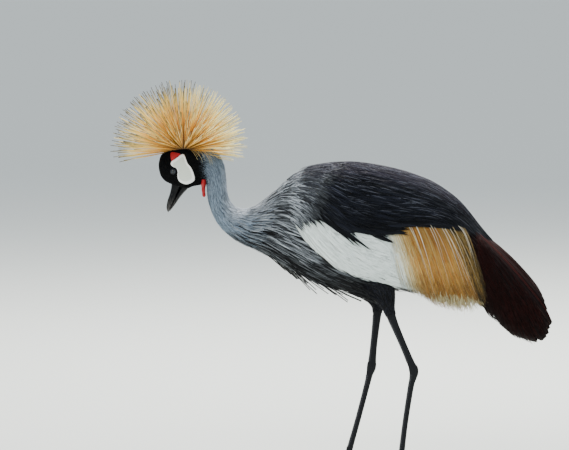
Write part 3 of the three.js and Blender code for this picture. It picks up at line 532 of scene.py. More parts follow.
# Velvet of the head
# Very short, dense black feathers over the forehead's cushion, the face and the crown. Each is a small
# closed lock with a ridge, rooted under the skin and laid back along the head.
SLIM = ((-1, -0.5), (1, -0.5), (0, 0.5))
FLAT = ((-1, 0), (0, -0.5), (1, 0), (0, 0.5))
BROAD = ((-1, -0.1), (-0.5, -0.45), (0, -0.5), (0.5, -0.45), (1, -0.1), (0.5, 0.3), (0, 0.6), (-0.5, 0.3))
PATCH = 0.003


def lay(surface, start, end, bend, lifts, steps):
    """Paths over a surface from start to end places, bowed sideways, with lifts read along them.

    The lifts are a row for each path, or one row for all. It gives the paths, and at each of their points the
    direction out of the surface.
    """
    t = np.linspace(0, 1, steps)
    place = start[:, None] + (end - start)[:, None] * t[None, :, None]
    turn = place[..., 1] + 4 * np.reshape(bend, (-1, 1)) * t * (1 - t)
    lifts = np.atleast_2d(np.asarray(lifts, float))
    at = t * (lifts.shape[1] - 1)
    i = np.minimum(at.astype(int), lifts.shape[1] - 2)
    lift = lifts[:, i] * (1 - (at - i)) + lifts[:, i + 1] * (at - i)
    path = surface(place[..., 0], turn, lift)
    out = surface(place[..., 0], turn, lift + 1) - path
    return path, out / np.linalg.norm(out, axis=2, keepdims=True)


def grow(path, out, half, high, ring, tint, root_uv, chance, bow=0.0):
    """Closed feathers round paths: ring is their cut across, half their half width and high their thickness.

    The tint is a colour for each feather, or for each of its steps, or for each step and side. Bow curls the
    vane's edges in. Root_uv is the root's place on the bake map, round which each feather has a small patch.
    """
    count, steps, _ = path.shape
    sides = len(ring)
    along = np.gradient(path, axis=1)
    along /= np.linalg.norm(along, axis=2, keepdims=True) + 1e-9
    across = np.cross(along, out)
    across /= np.linalg.norm(across, axis=2, keepdims=True) + 1e-9
    up = np.cross(across, along)
    side, rise = np.array(ring).T
    half = np.broadcast_to(half, (count, steps))[..., None]
    high = np.broadcast_to(high, (count, steps))[..., None]
    points = (path[:, :, None] + across[:, :, None] * (half * side)[..., None]
              + up[:, :, None] * (high * rise - bow * side**2)[..., None])
    index = np.arange(count * steps * sides).reshape(count, steps, sides)
    a, b = index[:, :-1], np.roll(index[:, :-1], -1, 2)
    d, c = index[:, 1:], np.roll(index[:, 1:], -1, 2)
    share = np.broadcast_to(np.linspace(0, 1, steps)[None, :, None], index.shape)
    side = np.broadcast_to(side, index.shape)
    luck = np.broadcast_to(chance.random(count)[:, None, None], index.shape)
    tint = tint.reshape(*tint.shape[:-1], *[1] * (4 - tint.ndim), 3)
    uv = root_uv[:, None, None] + PATCH * columns(share - 0.5, side * 0.5)
    return {
        "points": points.reshape(-1, 3),
        "quads": columns(a, d, c, b).reshape(-1, 4),
        "caps": np.concatenate([index[:, 0], index[:, -1, ::-1]]),
        "tint": np.broadcast_to(tint, (*index.shape, 3)).reshape(-1, 3),
        "vane": columns(side, share, luck).reshape(-1, 3),
        "uv": uv.reshape(-1, 2),
    }


def to_the_right(group):
    """The same feathers on the right side, turned so that their faces still point out."""
    flip = dict(group)
    flip["points"] = group["points"] * (1, -1, 1)
    flip["quads"] = group["quads"][:, ::-1]
    flip["caps"] = group["caps"][:, ::-1]
    return flip


def coat_piece(name, groups, material, slot, *nodes):
    """One object from groups of feathers, with its colours, its vanes' own places and its bake map."""
    offsets = np.concatenate([[0], np.cumsum([len(g["points"]) for g in groups])[:-1]])
    faces = [g[kind] + offset for g, offset in zip(groups, offsets) for kind in ("quads", "caps")]
    sizes = sorted({f.shape[1] for f in faces})
    faces = [np.concatenate([f for f in faces if f.shape[1] == size]) for size in sizes]
    points, tint, vane, uv = (np.concatenate([group[kind] for group in groups])
                              for kind in ("points", "tint", "vane", "uv"))
    corner_uv = np.concatenate([uv[f].reshape(-1, 2) for f in faces])
    piece = mesh_piece(name, points, faces, corner_uv)
    set_tint(piece.data, tint)
    set_vane(piece.data, vane)
    dress(piece, material, slot, *nodes)


def coat_pair(name, make, seeds, material, slot, node=None):
    """A coat piece for each side, with random draws of its own. The names have {} in place of the side."""
    for side, seed in zip(SIDE_SIGN, seeds):
        groups = make(seed) if side == "left" else [to_the_right(group) for group in make(seed)]
        coat_piece(name.format(side), groups, material, slot, *([node.format(side)] if node else []))


def new_tree(name, kind, inputs, outputs):
    """An empty node group with named inputs, each a kind of socket and a start value, and named outputs."""
    tree = bpy.data.node_groups.new(name, kind)
    for label, (socket_kind, value) in inputs.items():
        socket = tree.interface.new_socket(name=label, in_out="INPUT", socket_type="NodeSocket" + socket_kind)
        if value is not None:
            socket.default_value = value
    for label, socket_kind in outputs.items():
        tree.interface.new_socket(name=label, in_out="OUTPUT", socket_type="NodeSocket" + socket_kind)
    return tree, tree.nodes.new("NodeGroupInput").outputs, tree.nodes.new("NodeGroupOutput")


def math_in(tree, kind="ShaderNodeMath"):
    """A function that adds a math node to the tree, fills its inputs in order and gives its output."""
    def calc(operation, *values):
        made = add_node(tree, kind, {"operation": operation})
        for socket, value in zip(made.inputs, values):
            if isinstance(value, bpy.types.NodeSocket):
                tree.links.new(value, socket)
            else:
                socket.default_value = value
        return made.outputs[0]

    return calc


def barb_group():
    """Shader group: barbs that slant from the shaft and long streaks along the vane."""
    tree, given, result = new_tree("Barbs", "ShaderNodeTree", {
        "Tint": ("Color", None), "Vane": ("Vector", None), "Streaks": ("Float", 0.4),
        "Barbs": ("Float", 40.0),
        "Slant": ("Float", 8.0),
    }, {"Color": "Color", "Height": "Float"})
    calc = math_in(tree)
    side, along, luck = add_node(tree, "ShaderNodeSeparateXYZ", Vector=given["Vane"]).outputs
    slanted = calc("SUBTRACT", calc("MULTIPLY", along, given["Barbs"]),
                   calc("MULTIPLY", calc("ABSOLUTE", side), given["Slant"]))
    wave = calc("MULTIPLY_ADD", calc("SINE", calc("MULTIPLY", slanted, 2 * math.pi)), 0.5, 0.5)
    lines = add_node(tree, "ShaderNodeCombineXYZ", X=calc("MULTIPLY", side, 5),
                     Y=calc("MULTIPLY", along, 1.3),
                     Z=calc("MULTIPLY", luck, 60))
    streak = add_node(tree, "ShaderNodeTexNoise", Vector=lines.outputs[0], Scale=1.6, Detail=3).outputs["Fac"]
    strength = calc("MULTIPLY", calc("SUBTRACT", streak, 0.5), given["Streaks"])
    shade = calc("ADD", calc("ADD", 1, calc("MULTIPLY", strength, 2.4)),
                 calc("MULTIPLY", calc("SUBTRACT", wave, 0.5), 0.1))
    colored = add_node(tree, "ShaderNodeVectorMath", {"operation": "SCALE"}, Vector=given["Tint"],
                       Scale=shade)
    set_inputs(result, {"Color": colored.outputs["Vector"], "Height": calc("ADD", wave, streak)})
    return tree


BARBS = barb_group()


def side_shades(color, shades):
    """A colour for each side of a feather's ring, from the feather's own colour and a shade for each side."""
    return color[:, None] * np.array(shades)[None, :, None]


def feather_material(name, roughness, streaks, barbs=40.0, slant=8.0, relief=0.0002, sheen=0.08, shine=0.15):
    """A feather's vane: the piece's own colours through the group of barbs, with a soft sheen."""
    material = plain_material(name, (1, 1, 1), roughness, shine)
    tree = material.node_tree
    pattern = add_node(tree, "ShaderNodeGroup", {"node_tree": BARBS},
                       Tint=read_attribute(tree, "tint", "Color"),
                       Vane=read_attribute(tree, "vane", "Vector"), Streaks=streaks, Barbs=barbs, Slant=slant)
    set_inputs(shader_of(material), {
        "Base Color": pattern.outputs["Color"], "Sheen Weight": sheen, "Sheen Roughness": 0.4,
        "Normal": bumps(tree, pattern.outputs["Height"], relief),
    })
    return material


def scatter(arc_from, arc_to, along, around, chance, angles=(0, 360)):
    """Roots in staggered rings over the body, as arc lengths and angles."""
    arcs, turns = [], []
    for n, ring in enumerate(np.arange(arc_from, arc_to, along)):
        ux, uz, lx, lz, half, _ = row_at(BODY, np.interp([ring], FINE_ARCS, FINE_PLACES))[0]
        depth = math.hypot(ux - lx, uz - lz) / 2
        length = math.pi * (3 * (half + depth) - math.sqrt((3 * half + depth) * (half + 3 * depth)))
        span = angles[1] - angles[0]
        count = max(int(length * span / 360 / around), 3)
        shares = (np.arange(count) + 0.5 * (n % 2) + chance.uniform(-0.35, 0.35, count)) / count
        turns.append(angles[0] + span * shares)
        arcs.append(ring + along * chance.uniform(-0.5, 0.5, count))
    return np.concatenate(arcs), np.concatenate(turns)


CHEEK = [
    [-397.4, 620.3], [-391, 620.3], [-384.7, 604.5], [-377.7, 595.9], [-373, 585.4], [-370.5, 573.5],
    [-374.4, 567], [-386.5, 562.6], [-397.8, 566.3], [-402.6, 572.3], [-404, 581], [-403.4, 587],
    [-406, 594], [-413.2, 597.6], [-416.9, 601.5], [-415.7, 607.2], [-408.3, 612.3], [-402.2, 616.8],
]
RED_CAP = [[-417, 624], [-403, 623.2], [-398.2, 621.2], [-402.6, 617.4], [-408.6, 612.9], [-415.6, 608.4]]


def inside(outline, x, z):
    """Which points lie inside a closed outline in the side view."""
    hit = np.zeros(np.shape(x), bool)
    ends = np.roll(outline, -1, 0)
    for (ax, az), (bx, bz) in zip(outline, ends):
        crosses = (az > z) != (bz > z)
        where = ax + (z - az) * (bx - ax) / (bz - az + 1e-12)
        hit ^= crosses & (x < where)
    return hit


def is_bare(point):
    """Where the head shows skin: the cheek, the red cap and the eye's opening."""
    x, z = point[:, 0], point[:, 2]
    eye = np.hypot(x - EYE_AT[0], z - EYE_AT[2]) < 5.6
    return inside(CHEEK, x, z) | inside(RED_CAP, x, z) | (eye & (np.abs(point[:, 1]) > 12))


VELVET_TUFT = {"along": 1.55, "around": 1.35, "length": 3.8, "half": 0.5, "thick": 0.35}


def velvet():
    chance = np.random.default_rng(3)
    arcs, angles = scatter(0.5, arc_of(11.6), VELVET_TUFT["along"], VELVET_TUFT["around"], chance)
    root = body_point(arcs, angles, np.zeros(len(arcs)))
    keep = ~is_bare(root) & (chance.random(len(arcs)) > grey_share(root))
    arcs, angles, root = arcs[keep], angles[keep], root[keep]
    length = VELVET_TUFT["length"] * chance.uniform(0.7, 1.2, len(arcs))
    end = columns(arcs + length, angles + chance.normal(0, 3, len(arcs)))
    tip = chance.uniform(-0.1, 0.5, len(arcs))
    lifts = columns(-1.5, tip * 0.5, tip)
    path, out = lay(body_point, columns(arcs, angles), end, 0, lifts, 3)
    color = shaded(VELVET, chance.uniform(0.6, 1.5, len(arcs)))
    width = np.array([0.8, 1, 0.15]) * VELVET_TUFT["half"]
    return grow(path, out, width, VELVET_TUFT["thick"], SLIM, color, body_uv(arcs, angles), chance)


coat_piece("velvet", [velvet()], feather_material("black_velvet", 0.9, 0.3, sheen=0.02, shine=0.06), "velvet")

# Neck feathers
# Fine pointed blue-grey feathers that lie flat along the neck, each a little lighter or darker than the next,
# so that the neck looks finely streaked. They lengthen towards the neck's base.
NECK_FEATHER = {"along": 4.0, "around": 2.1, "half": (0.7, 1.5), "length": (9, 26), "thick": 0.4}
POINTED = np.array([0.5, 1, 0.95, 0.6, 0.08])


def neck_feathers():
    chance = np.random.default_rng(4)
    arcs, angles = scatter(arc_of(5), arc_of(20.6), NECK_FEATHER["along"], NECK_FEATHER["around"], chance)
    root = body_point(arcs, angles, 0)
    keep = ~is_bare(root) & (chance.random(len(arcs)) < grey_share(root))
    arcs, angles, root = arcs[keep], angles[keep], root[keep]
    share = np.clip((arcs - NAPE) / (NECK_BASE - NAPE), 0, 1)
    short, full = NECK_FEATHER["length"]
    length = (short * (1 - share) + full * share) * chance.uniform(0.8, 1.2, len(arcs))
    narrow, wide = NECK_FEATHER["half"]
    half = narrow * (1 - share) + wide * share
    start = columns(arcs, angles)
    end = start + columns(length, chance.normal(0, 4, len(arcs)))
    tip = chance.uniform(-0.2, 0.9, len(arcs))
    lifts = columns(-2.6, tip * 0.3 - 0.4, tip * 0.8, tip)
    path, out = lay(body_point, start, end, chance.normal(0, 2, len(arcs)), lifts, 5)
    color = coat_color(root) * chance.uniform(0.6, 1.4, len(arcs))[:, None]
    color = color[:, None] * np.linspace(0.6, 1.2, 5)[None, :, None]
    return grow(path, out, half[:, None] * POINTED, NECK_FEATHER["thick"], SLIM, color,
                body_uv(arcs, angles), chance)


coat_piece("neck_feathers", [neck_feathers()], feather_material("neck_down", 0.6, 0.35, sheen=0.15), "neck")

# Breast plumes
# Long lance-shaped grey feathers with pale middles, which trail from the neck's base over the breast and the
# wings' front edges. Their outer faces and roots are darkened as painted shade, which makes the dark gaps
# between them, and those on the underside are darker with painted shade. The lowest ones hang free under the
# belly like coarse hair.
BREAST_PLUME = {"along": 22, "around": 4.4, "half": (1.2, 2.9), "length": (34, 104), "thick": 0.8}
BREAST_HAIR = {"along": 14, "around": 2.8, "loose": 0.17}
LANCE = np.array([0.45, 0.85, 1, 1, 0.85, 0.62, 0.35, 0.06])
PLUME_PALE = paint(206, 214, 222)
# Dark for some plumes' middles and for the dark hairs, and painted shade for the gaps between the plumes.
PLUME_DARK_AND_SHADE = paint(20, 21, 24)


def plume_paths(chance, kind, steps, longer=1.0, higher=0.0):
    """Paths for plumes or hairs: they run back along the body and turn down towards the belly."""
    first, last = arc_of(17.8), arc_of(24.4)
    arcs, angles = scatter(first, last, kind["along"], kind["around"], chance)
    root = body_point(arcs, angles, 0)
    rise = np.sin(np.radians(angles))
    low = np.clip(-rise, 0, 1)
    share = np.clip((arcs - first) / (arc_of(23.5) - first), 0, 1)
    short, full = BREAST_PLUME["length"]
    length = (short + (full - short) * share) * (0.62 + 0.38 * low)
    length = length * chance.uniform(0.75, 1.15, len(arcs)) * longer
    left = np.cos(np.radians(angles)) > 0
    target = np.where(left, -70, 250)
    turned = np.where(angles > 270, angles - 360, angles)
    drift = (target - turned) * (0.05 + 0.16 * share * (1 - low))
    end = columns(arcs + length, turned + drift + chance.normal(0, 2.5, len(arcs)))
    tip = 1.5 + 2.2 * share + 6.5 * low * share + higher + chance.normal(0, 0.7, len(arcs))
    lifts = columns(-2.6, 0.1 * tip, 0.45 * tip, 0.75 * tip, tip)
    path, out = lay(body_point, columns(arcs, turned), end, chance.normal(0, 2, len(arcs)), lifts, steps)
    return path, out, root, arcs, angles, share


def breast_plumes():
    """Lances with a middle that may be pale and a dark outer face and root, painted shade of the gaps between
    them; near the neck they take its grey.
    """
    chance = np.random.default_rng(5)
    path, out, root, arcs, angles, share = plume_paths(chance, BREAST_PLUME, len(LANCE))
    narrow, wide = BREAST_PLUME["half"]
    half = (narrow + (wide - narrow) * share) * chance.uniform(0.85, 1.15, len(arcs))
    middle = blend(PLUME_DARK_AND_SHADE, PLUME_PALE, chance.uniform(0, 1, len(arcs)) ** 1.1)
    darker = 1 - 0.78 * step(460, 400, root[:, 2])
    # Darker where the plumes face down: painted shade on the underside.
    darker = darker * (1 - 0.55 * step(0.62, 0.96, -np.sin(np.radians(angles))))
    calm = step(0.42, 0.0, share)
    middle = blend(middle, coat_color(root) * chance.uniform(0.75, 1.15, len(arcs))[:, None], 0.8 * calm)
    middle = middle * darker[:, None]
    # Painted shade: the outer faces here, and the roots through fade below, are darkened so that the gaps
    # between the plumes look dark.
    dark = blend(PLUME_DARK_AND_SHADE, middle, 0.12 + 0.6 * calm)
    fade = np.array([0.3, 0.55, 0.8, 0.95, 1.05, 1.1, 1.1, 0.9])
    fade = 1 + (fade - 1) * (1 - 0.65 * calm)[:, None]
    color = np.concatenate([side_shades(dark, [1] * 5), side_shades(middle, [0.85, 1.1, 0.85])], 1)
    return grow(path, out, half[:, None] * LANCE, BREAST_PLUME["thick"], BROAD,
                color[:, None] * fade[..., None, None], body_uv(arcs, angles), chance, bow=0.7)


def breast_hairs():
    """Fine dark and pale hairs among the plumes. The loose ones are thicker and hang free under the belly."""
    chance = np.random.default_rng(6)
    steps = 6
    path, out, root, arcs, angles, share = plume_paths(chance, BREAST_HAIR, steps, 1.2, 0.7)
    t = np.linspace(0, 1, steps)
    low = np.clip(-np.sin(np.radians(angles)), 0, 1)
    is_loose = chance.random(len(arcs)) < BREAST_HAIR["loose"]
    drop = np.where(is_loose, chance.uniform(8, 26, len(arcs)), chance.uniform(0, 4, len(arcs)))
    path[..., 2] -= (step(0.3, 0.8, low) * step(0.2, 0.7, share) * drop)[:, None] * t**2
    color = blend(PLUME_DARK_AND_SHADE, PLUME_PALE, chance.uniform(0, 1, len(arcs)) ** 1.5)
    color = color[:, None] * (0.5 + 0.7 * t)[None, :, None]
    color = color * (1 - 0.72 * step(460, 400, root[:, 2]))[:, None, None]
    # Darker where the hairs face down: painted shade on the underside.
    color = color * (1 - 0.5 * step(0.62, 0.96, low))[:, None, None]
    color = np.where((is_loose & (low > 0.2))[:, None, None], np.asarray(PLUME_DARK_AND_SHADE) * 0.8, color)
    half = (0.5 + 0.7 * is_loose)[:, None] * (1 - t**5) + 0.07
    high = (0.5 + 1.1 * is_loose)[:, None]
    return grow(path, out, half, high, SLIM, color, body_uv(arcs, angles), chance)


PLUME_FINISH = feather_material("slate_plume", 0.55, 0.5, 30, 6)
coat_piece("breast_plumes", [breast_plumes()], PLUME_FINISH, "plume")
coat_piece("breast_hairs", [breast_hairs()], PLUME_FINISH, "plume")

# Belly and rump feathers
# Short rounded blackish feathers under and behind the body, seen below the wings and between the legs.
BELLY_FEATHER = {"along": 9.6, "around": 7.2, "half": 4.0, "length": 27, "thick": 0.5}
ROUNDED = np.array([0.5, 0.9, 1, 0.85, 0.3])


def belly_feathers():
    chance = np.random.default_rng(7)
    arcs, angles = scatter(arc_of(23.2), ARC_LENGTH - 6, BELLY_FEATHER["along"], BELLY_FEATHER["around"],
                           chance)
    root = body_point(arcs, angles, 0)
    keep = (np.sin(np.radians(angles)) < 0.25) | (root[:, 0] > 90)
    arcs, angles, root = arcs[keep], angles[keep], root[keep]
    length = BELLY_FEATHER["length"] * chance.uniform(0.8, 1.3, len(arcs))
    end = columns(arcs + length, angles + chance.normal(0, 3, len(arcs)))
    tip = chance.uniform(0.2, 1.6, len(arcs))
    lifts = columns(-2.6, tip * 0.2, tip * 0.7, tip)
    path, out = lay(body_point, columns(arcs, angles), end, chance.normal(0, 2, len(arcs)), lifts, 5)
    color = shaded(BELLY, chance.uniform(0.5, 1.6, len(arcs)))
    color = color[:, None] * np.linspace(0.6, 1.3, 5)[None, :, None]
    return grow(path, out, BELLY_FEATHER["half"] * ROUNDED, BELLY_FEATHER["thick"], FLAT, color,
                body_uv(arcs, angles), chance)


coat_piece("belly_feathers", [belly_feathers()], PLUME_FINISH, "slate")

# White wing coverts
# Broad, smooth, greenish-white feathers in tiers on each folded wing, with their tips along one clean curve
# from the breast to the golden plumes. A thin white pad of flesh and down lies under them.
# Each row of the folded wings' outline: x, top, bottom, half width.
ROOF = np.array([
    [-190, 572, 420, 58], [-160, 586, 400, 75], [-130, 593, 386, 86], [-90, 597.5, 368, 94],
    [-50, 597, 358, 98], [0, 589, 350, 99], [50, 576, 343, 95], [100, 555, 326, 87], [150, 518, 314, 75],
    [200, 464, 306, 58], [250, 418, 266, 43], [300, 360, 246, 29], [330, 305, 242, 18],
])
FINE_ROOF = row_at(ROOF, np.linspace(0, len(ROOF) - 1, 600))


def roof_row(x):
    return columns(*(np.interp(x, FINE_ROOF[:, 0], FINE_ROOF[:, k]) for k in (1, 2, 3)))


def roof_point(x, angle, lift):
    """A point over the folded wings, where angle 0 is the left side's middle height and 90 the back."""
    x, angle, lift = np.broadcast_arrays(x, angle, lift)
    top, bottom, half = np.moveaxis(roof_row(x), -1, 0)
    return ring_point(columns(x, top, x, bottom, half, 0.5), angle, lift)


def roof_angle(x, z):
    top, bottom, _ = np.moveaxis(roof_row(x), -1, 0)
    return np.degrees(np.arcsin(np.clip((z - (top + bottom) / 2) / ((top - bottom) / 2), -0.99998, 0.99998)))


def edge(table):
    """A height read from a smooth line through a short table of x and z."""
    fine = row_at(np.array(table, float), np.linspace(0, len(table) - 1, 300))
    return lambda x: np.interp(x, fine[:, 0], fine[:, 1])


def roof_uv(x, angle):
    """A root's place on the skin's unwrap, from a place on the folded wings."""
    arc = np.interp(x, FINE_ROWS[:, 0], FINE_ARCS)
    return body_uv(arc, angle)


def pad(from_x, to_x, lower, upper, inner, outer, tint):
    """A thin closed sheet of down that carries the feathers, between two lifts over the folded wings."""
    x = np.linspace(from_x, to_x, 44)
    inner, outer = (np.broadcast_to(lift(x) if callable(lift) else lift, x.shape)[:, None]
                    for lift in (inner, outer))
    low_angle, high_angle = roof_angle(x, lower(x)), roof_angle(x, upper(x))
    angles = low_angle[:, None] + (high_angle - low_angle)[:, None] * np.linspace(0, 1, 22)
    shell = [roof_point(x[:, None], angles, outer), roof_point(x[:, None], angles[:, ::-1], inner)]
    points, (quads, fans) = loft(np.concatenate(shell, 1))
    return {
        "points": points, "quads": quads, "caps": fans,
        "tint": np.broadcast_to(tint, (len(points), 3)), "vane": np.zeros((len(points), 3)),
        "uv": roof_uv(points[:, 0], roof_angle(points[:, 0], points[:, 2])),
    }


def over_roof(chance, roots, tips, lifts, bend=3.0, steps=10, jitter=2.0):
    """Paths on the folded wings from root places to tip places, each an x and a z."""
    roots, tips = np.asarray(roots, float), np.array(tips, float)
    tips[:, 0] += chance.normal(0, jitter, len(tips))
    tips[:, 1] += chance.normal(0, jitter, len(tips))
    start = columns(roots[:, 0], roof_angle(roots[:, 0], roots[:, 1]))
    end = columns(tips[:, 0], roof_angle(tips[:, 0], tips[:, 1]))
    bends = bend + chance.normal(0, 0.8, len(roots))
    path, out = lay(roof_point, start, end, bends, lifts, steps)
    return path, out, roof_uv(roots[:, 0], start[:, 1])


WHITE = paint(240, 250, 247)
WHITE_WARM = paint(230, 218, 186)
WHITE_EDGE = edge([
    [-180, 500], [-167, 481], [-149, 450], [-136, 434], [-120, 419], [-98, 403], [-69, 387], [-35, 374],
    [-4, 365], [29, 357], [64, 351], [100, 346], [150, 344],
])
VANE_SHAPE = np.array([0.35, 0.7, 0.9, 1, 1.02, 1.02, 0.98, 0.9, 0.72, 0.2])


def covert_line(x, height):
    """The height of a line over the white at a height above its lower edge."""
    return WHITE_EDGE(x) + height


def covert_lift(height):
    return -4.6 + 0.035 * height


def covert_tier(chance, rise, count):
    """A row of vanes whose tips lie along the white, at a height above its lower edge."""
    tip_x = -150 + 300 * (np.arange(count) + 0.5 * chance.random()) / count
    root_x = np.maximum(tip_x - 62 * chance.uniform(0.9, 1.1, count), -184)
    roots = columns(root_x, covert_line(root_x, rise + 17))
    tips = columns(tip_x, covert_line(tip_x, rise + 4.5))
    top = covert_lift(rise)
    lifts = [-8.0, top - 0.6, top, top + 0.1]
    path, out, uv = over_roof(chance, roots, tips, lifts, bend=0.5, jitter=0.8)
    color = blend(WHITE, WHITE_WARM, step(30, 110, tip_x) * 0.6) * chance.uniform(0.98, 1.02, count)[:, None]
    return grow(path, out, 9 * VANE_SHAPE, 0.3, BROAD, color, uv, chance, bow=0.2)


def covert_barbs(chance, count=2300):
    """Fine barbs, laid so close that the white looks like one smooth sheet."""
    x = chance.uniform(-178, 110, count)
    height = chance.uniform(3, 100, count)
    reach = chance.uniform(20, 38, count)
    roots = columns(x, covert_line(x, height))
    ends = columns(x + reach, covert_line(x + reach, height - chance.uniform(2, 6, count)))
    lift = covert_lift(height) + chance.uniform(0.1, 0.6, count)
    lifts = columns(lift - 0.9, lift, lift)
    path, out, uv = over_roof(chance, roots, ends, lifts, bend=0.0, steps=5, jitter=0.6)
    color = blend(WHITE, WHITE_WARM, step(20, 100, x) * 0.7) * chance.uniform(0.94, 1.04, count)[:, None]
    t = np.linspace(0, 1, 5)
    return grow(path, out, 0.85 * (1 - t**3) + 0.06, 0.25, SLIM, color, uv, chance)


def flank_shadow_feathers(chance, count=72):
    """Dark lances under the white's lower edge, which underline it as a painted shadow line."""
    tip_x = chance.uniform(-112, 66, count)
    root_x = tip_x - chance.uniform(44, 62, count)
    roots = columns(root_x, WHITE_EDGE(root_x) + 4)
    tips = columns(tip_x, WHITE_EDGE(tip_x) - chance.uniform(3, 9, count))
    lifts = [-11.0, -6.0, -5.2, -5.6]
    path, out, uv = over_roof(chance, roots, tips, lifts, bend=0.5, jitter=1.0)
    color = shaded(BELLY, chance.uniform(0.3, 1.0, count))
    return grow(path, out, 4 * VANE_SHAPE, 0.5, FLAT, color, uv, chance)


def wing_groups(seed):
    chance = np.random.default_rng(seed)
    base = pad(-180, 150, lambda x: covert_line(x, 4), edge([
        [-180, 512], [-140, 545], [-100, 560], [0, 560], [100, 530], [150, 492]]), -8, -4.3, WHITE)
    tiers = [covert_tier(chance, rise, 27) for rise in (0, 7, 40, 72)]
    return [base, *tiers, covert_barbs(chance)]


WHITE_FINISH = feather_material("white_covert", 0.55, 0.04, 46, 12, relief=0.00006, sheen=0.2)
coat_pair("coverts_{}", wing_groups, (10, 11), WHITE_FINISH, "white", "wing_{}")
# Dark feathers tucked under the white's lower edge draw a painted shadow line below it.
flank = [flank_shadow_feathers(np.random.default_rng(8)), to_the_right(flank_shadow_feathers(np.random.default_rng(9)))]
coat_piece("flank_shadow_feathers", flank, PLUME_FINISH, "slate")

# Scapulars and mantle
# Long pointed blue-black feathers from the shoulder over the back, their tips lying over the white. The
# short ones on the shoulder are greyer, and fine pale barbs give the whole back its streaked sheen; the pale
# barbs, on its upper part only, are painted highlight streaks.
SLATE_TIPS = edge([
    [-176, 520], [-139, 511], [-119, 493], [-98, 477], [-75, 463], [-60, 464], [-42, 469], [-8, 467],
    [23, 470], [46, 478], [60, 483], [96, 488], [116, 482], [147, 470], [165, 464], [187, 458],
    [210, 449],
])
# The distinct points along the black's lower edge: tip x, tip z, length.
SLATE_POINTS = np.array([
    [-133, 487, 40], [-118, 484, 46], [-60, 453, 80], [-47, 445, 78], [-30, 442.5, 92], [17, 456, 50],
    [45, 474, 58],
])
SLATE_DARK = paint(9, 12, 17)
SLATE_SHEEN = paint(52, 56, 70)
SLATE_PLUM = paint(66, 62, 76)
# Pale streaks of painted highlight on the upper back's barbs.
SLATE_HIGHLIGHT_STREAK = paint(124, 128, 142)
LANCE_VANE = np.array([0.4, 0.85, 1, 1, 0.92, 0.76, 0.52, 0.26, 0.04])


def slate_line(x, f):
    """Streamlines over the back: f is 0 along the black's lower edge and 1 along the ridge."""
    return roof_angle(x, SLATE_TIPS(x)) * (1 - f) + 89 * f


def slate_flow(f, u):
    """Root and tip of a scapular: f is its streamline at the tip, u runs from the front to the back."""
    tip_x = -124 + 12 * f + (340 - 12 * f) * u
    root_x = np.maximum(tip_x - 58 - 58 * u, -178)
    roots = columns(root_x, slate_line(root_x, np.clip(f + 0.1, 0, 1)))
    return roots, columns(tip_x, slate_line(tip_x, f) + 1.5 * (1 - f))


def over_back(chance, roots, tips, lifts, bend, steps, jitter):
    """Paths on the folded wings between places given by x and angle."""
    shake = chance.normal(0, jitter, (2, len(tips))) * [[1], [0.6]]
    bends = bend + chance.normal(0, 0.8, len(roots))
    path, out = lay(roof_point, roots, tips + shake.T, bends, lifts, steps)
    return path, out, roof_uv(roots[:, 0], roots[:, 1])


def sink(from_x, to_x):
    """How far the last feathers come down along their length, so that they end flat on the cloak behind."""
    return 8.5 * step(136, 206, from_x[:, None] + (to_x - from_x)[:, None] * np.linspace(0, 1, 4))


def slate_color(chance, place):
    """Blue-black, darker low down and behind, with a grey shoulder and a brown-purple ridge."""
    x, angle = place.T
    count = len(x)
    ridge = step(48, 72, angle) * step(190, 60, x)
    shoulder = step(-112, -172, x) * step(8, 40, angle)
    color = blend(SLATE_DARK, SLATE_SHEEN, chance.uniform(0, 1, count) ** 2 * 0.5)
    color = blend(color, SLATE_PLUM, ridge * chance.uniform(0.1, 0.9, count))
    color = color * ((0.5 + 0.5 * step(-5, 35, angle)) * (1 - 0.45 * step(20, 130, x)))[:, None]
    return blend(color, BREAST_GREY, shoulder * chance.uniform(0.1, 1, count))


def slate_vanes(chance, roots, tips, top, half):
    count = len(roots)
    lifts = columns(0.2, top * 0.8, top, top) - sink(roots[:, 0], tips[:, 0])
    path, out, uv = over_back(chance, roots, tips, lifts, bend=0.6, steps=len(LANCE_VANE), jitter=1.4)
    color = slate_color(chance, (roots + tips) / 2)
    ring_color = side_shades(color, [0.8, 0.8, 1, 0.8, 0.8, 1, 1.2, 1])
    return grow(path, out, half * LANCE_VANE * chance.uniform(0.85, 1.15, (count, 1)), 0.55, BROAD,
                ring_color[:, None], uv, chance, bow=0.4)


def scapular_groups(seed):
    chance = np.random.default_rng(seed)
    groups = [pad(-176, 160, lambda x: SLATE_TIPS(x) + 12, lambda x: np.full_like(x, 700), -9,
                  lambda x: np.interp(x, [-176, -150, 100, 160], [-8, 1.2, 1.2, -5.5]), SLATE_DARK)]
    tiers = 13
    for tier in range(tiers):
        f = tier / (tiers - 1)
        count = 34 - tier
        u = (np.arange(count) + 0.5 * (tier % 2)) / count
        roots, tips = slate_flow(np.full(count, f), u)
        groups.append(slate_vanes(chance, roots, tips, 2.4 + 4.6 * f + 0.5 * (np.arange(count) % 2), 6.4))
    tips = np.repeat(SLATE_POINTS, 2, 0)
    root_x = tips[:, 0] - tips[:, 2] + chance.uniform(-4, 4, len(tips))
    roots = columns(root_x, roof_angle(root_x, SLATE_TIPS(root_x) + 7))
    ends = columns(tips[:, 0], roof_angle(tips[:, 0], tips[:, 1]))
    groups.append(slate_vanes(chance, roots, ends, np.full(len(tips), 3.2), 3.6))
    return groups + [mantle(seed + 1)]


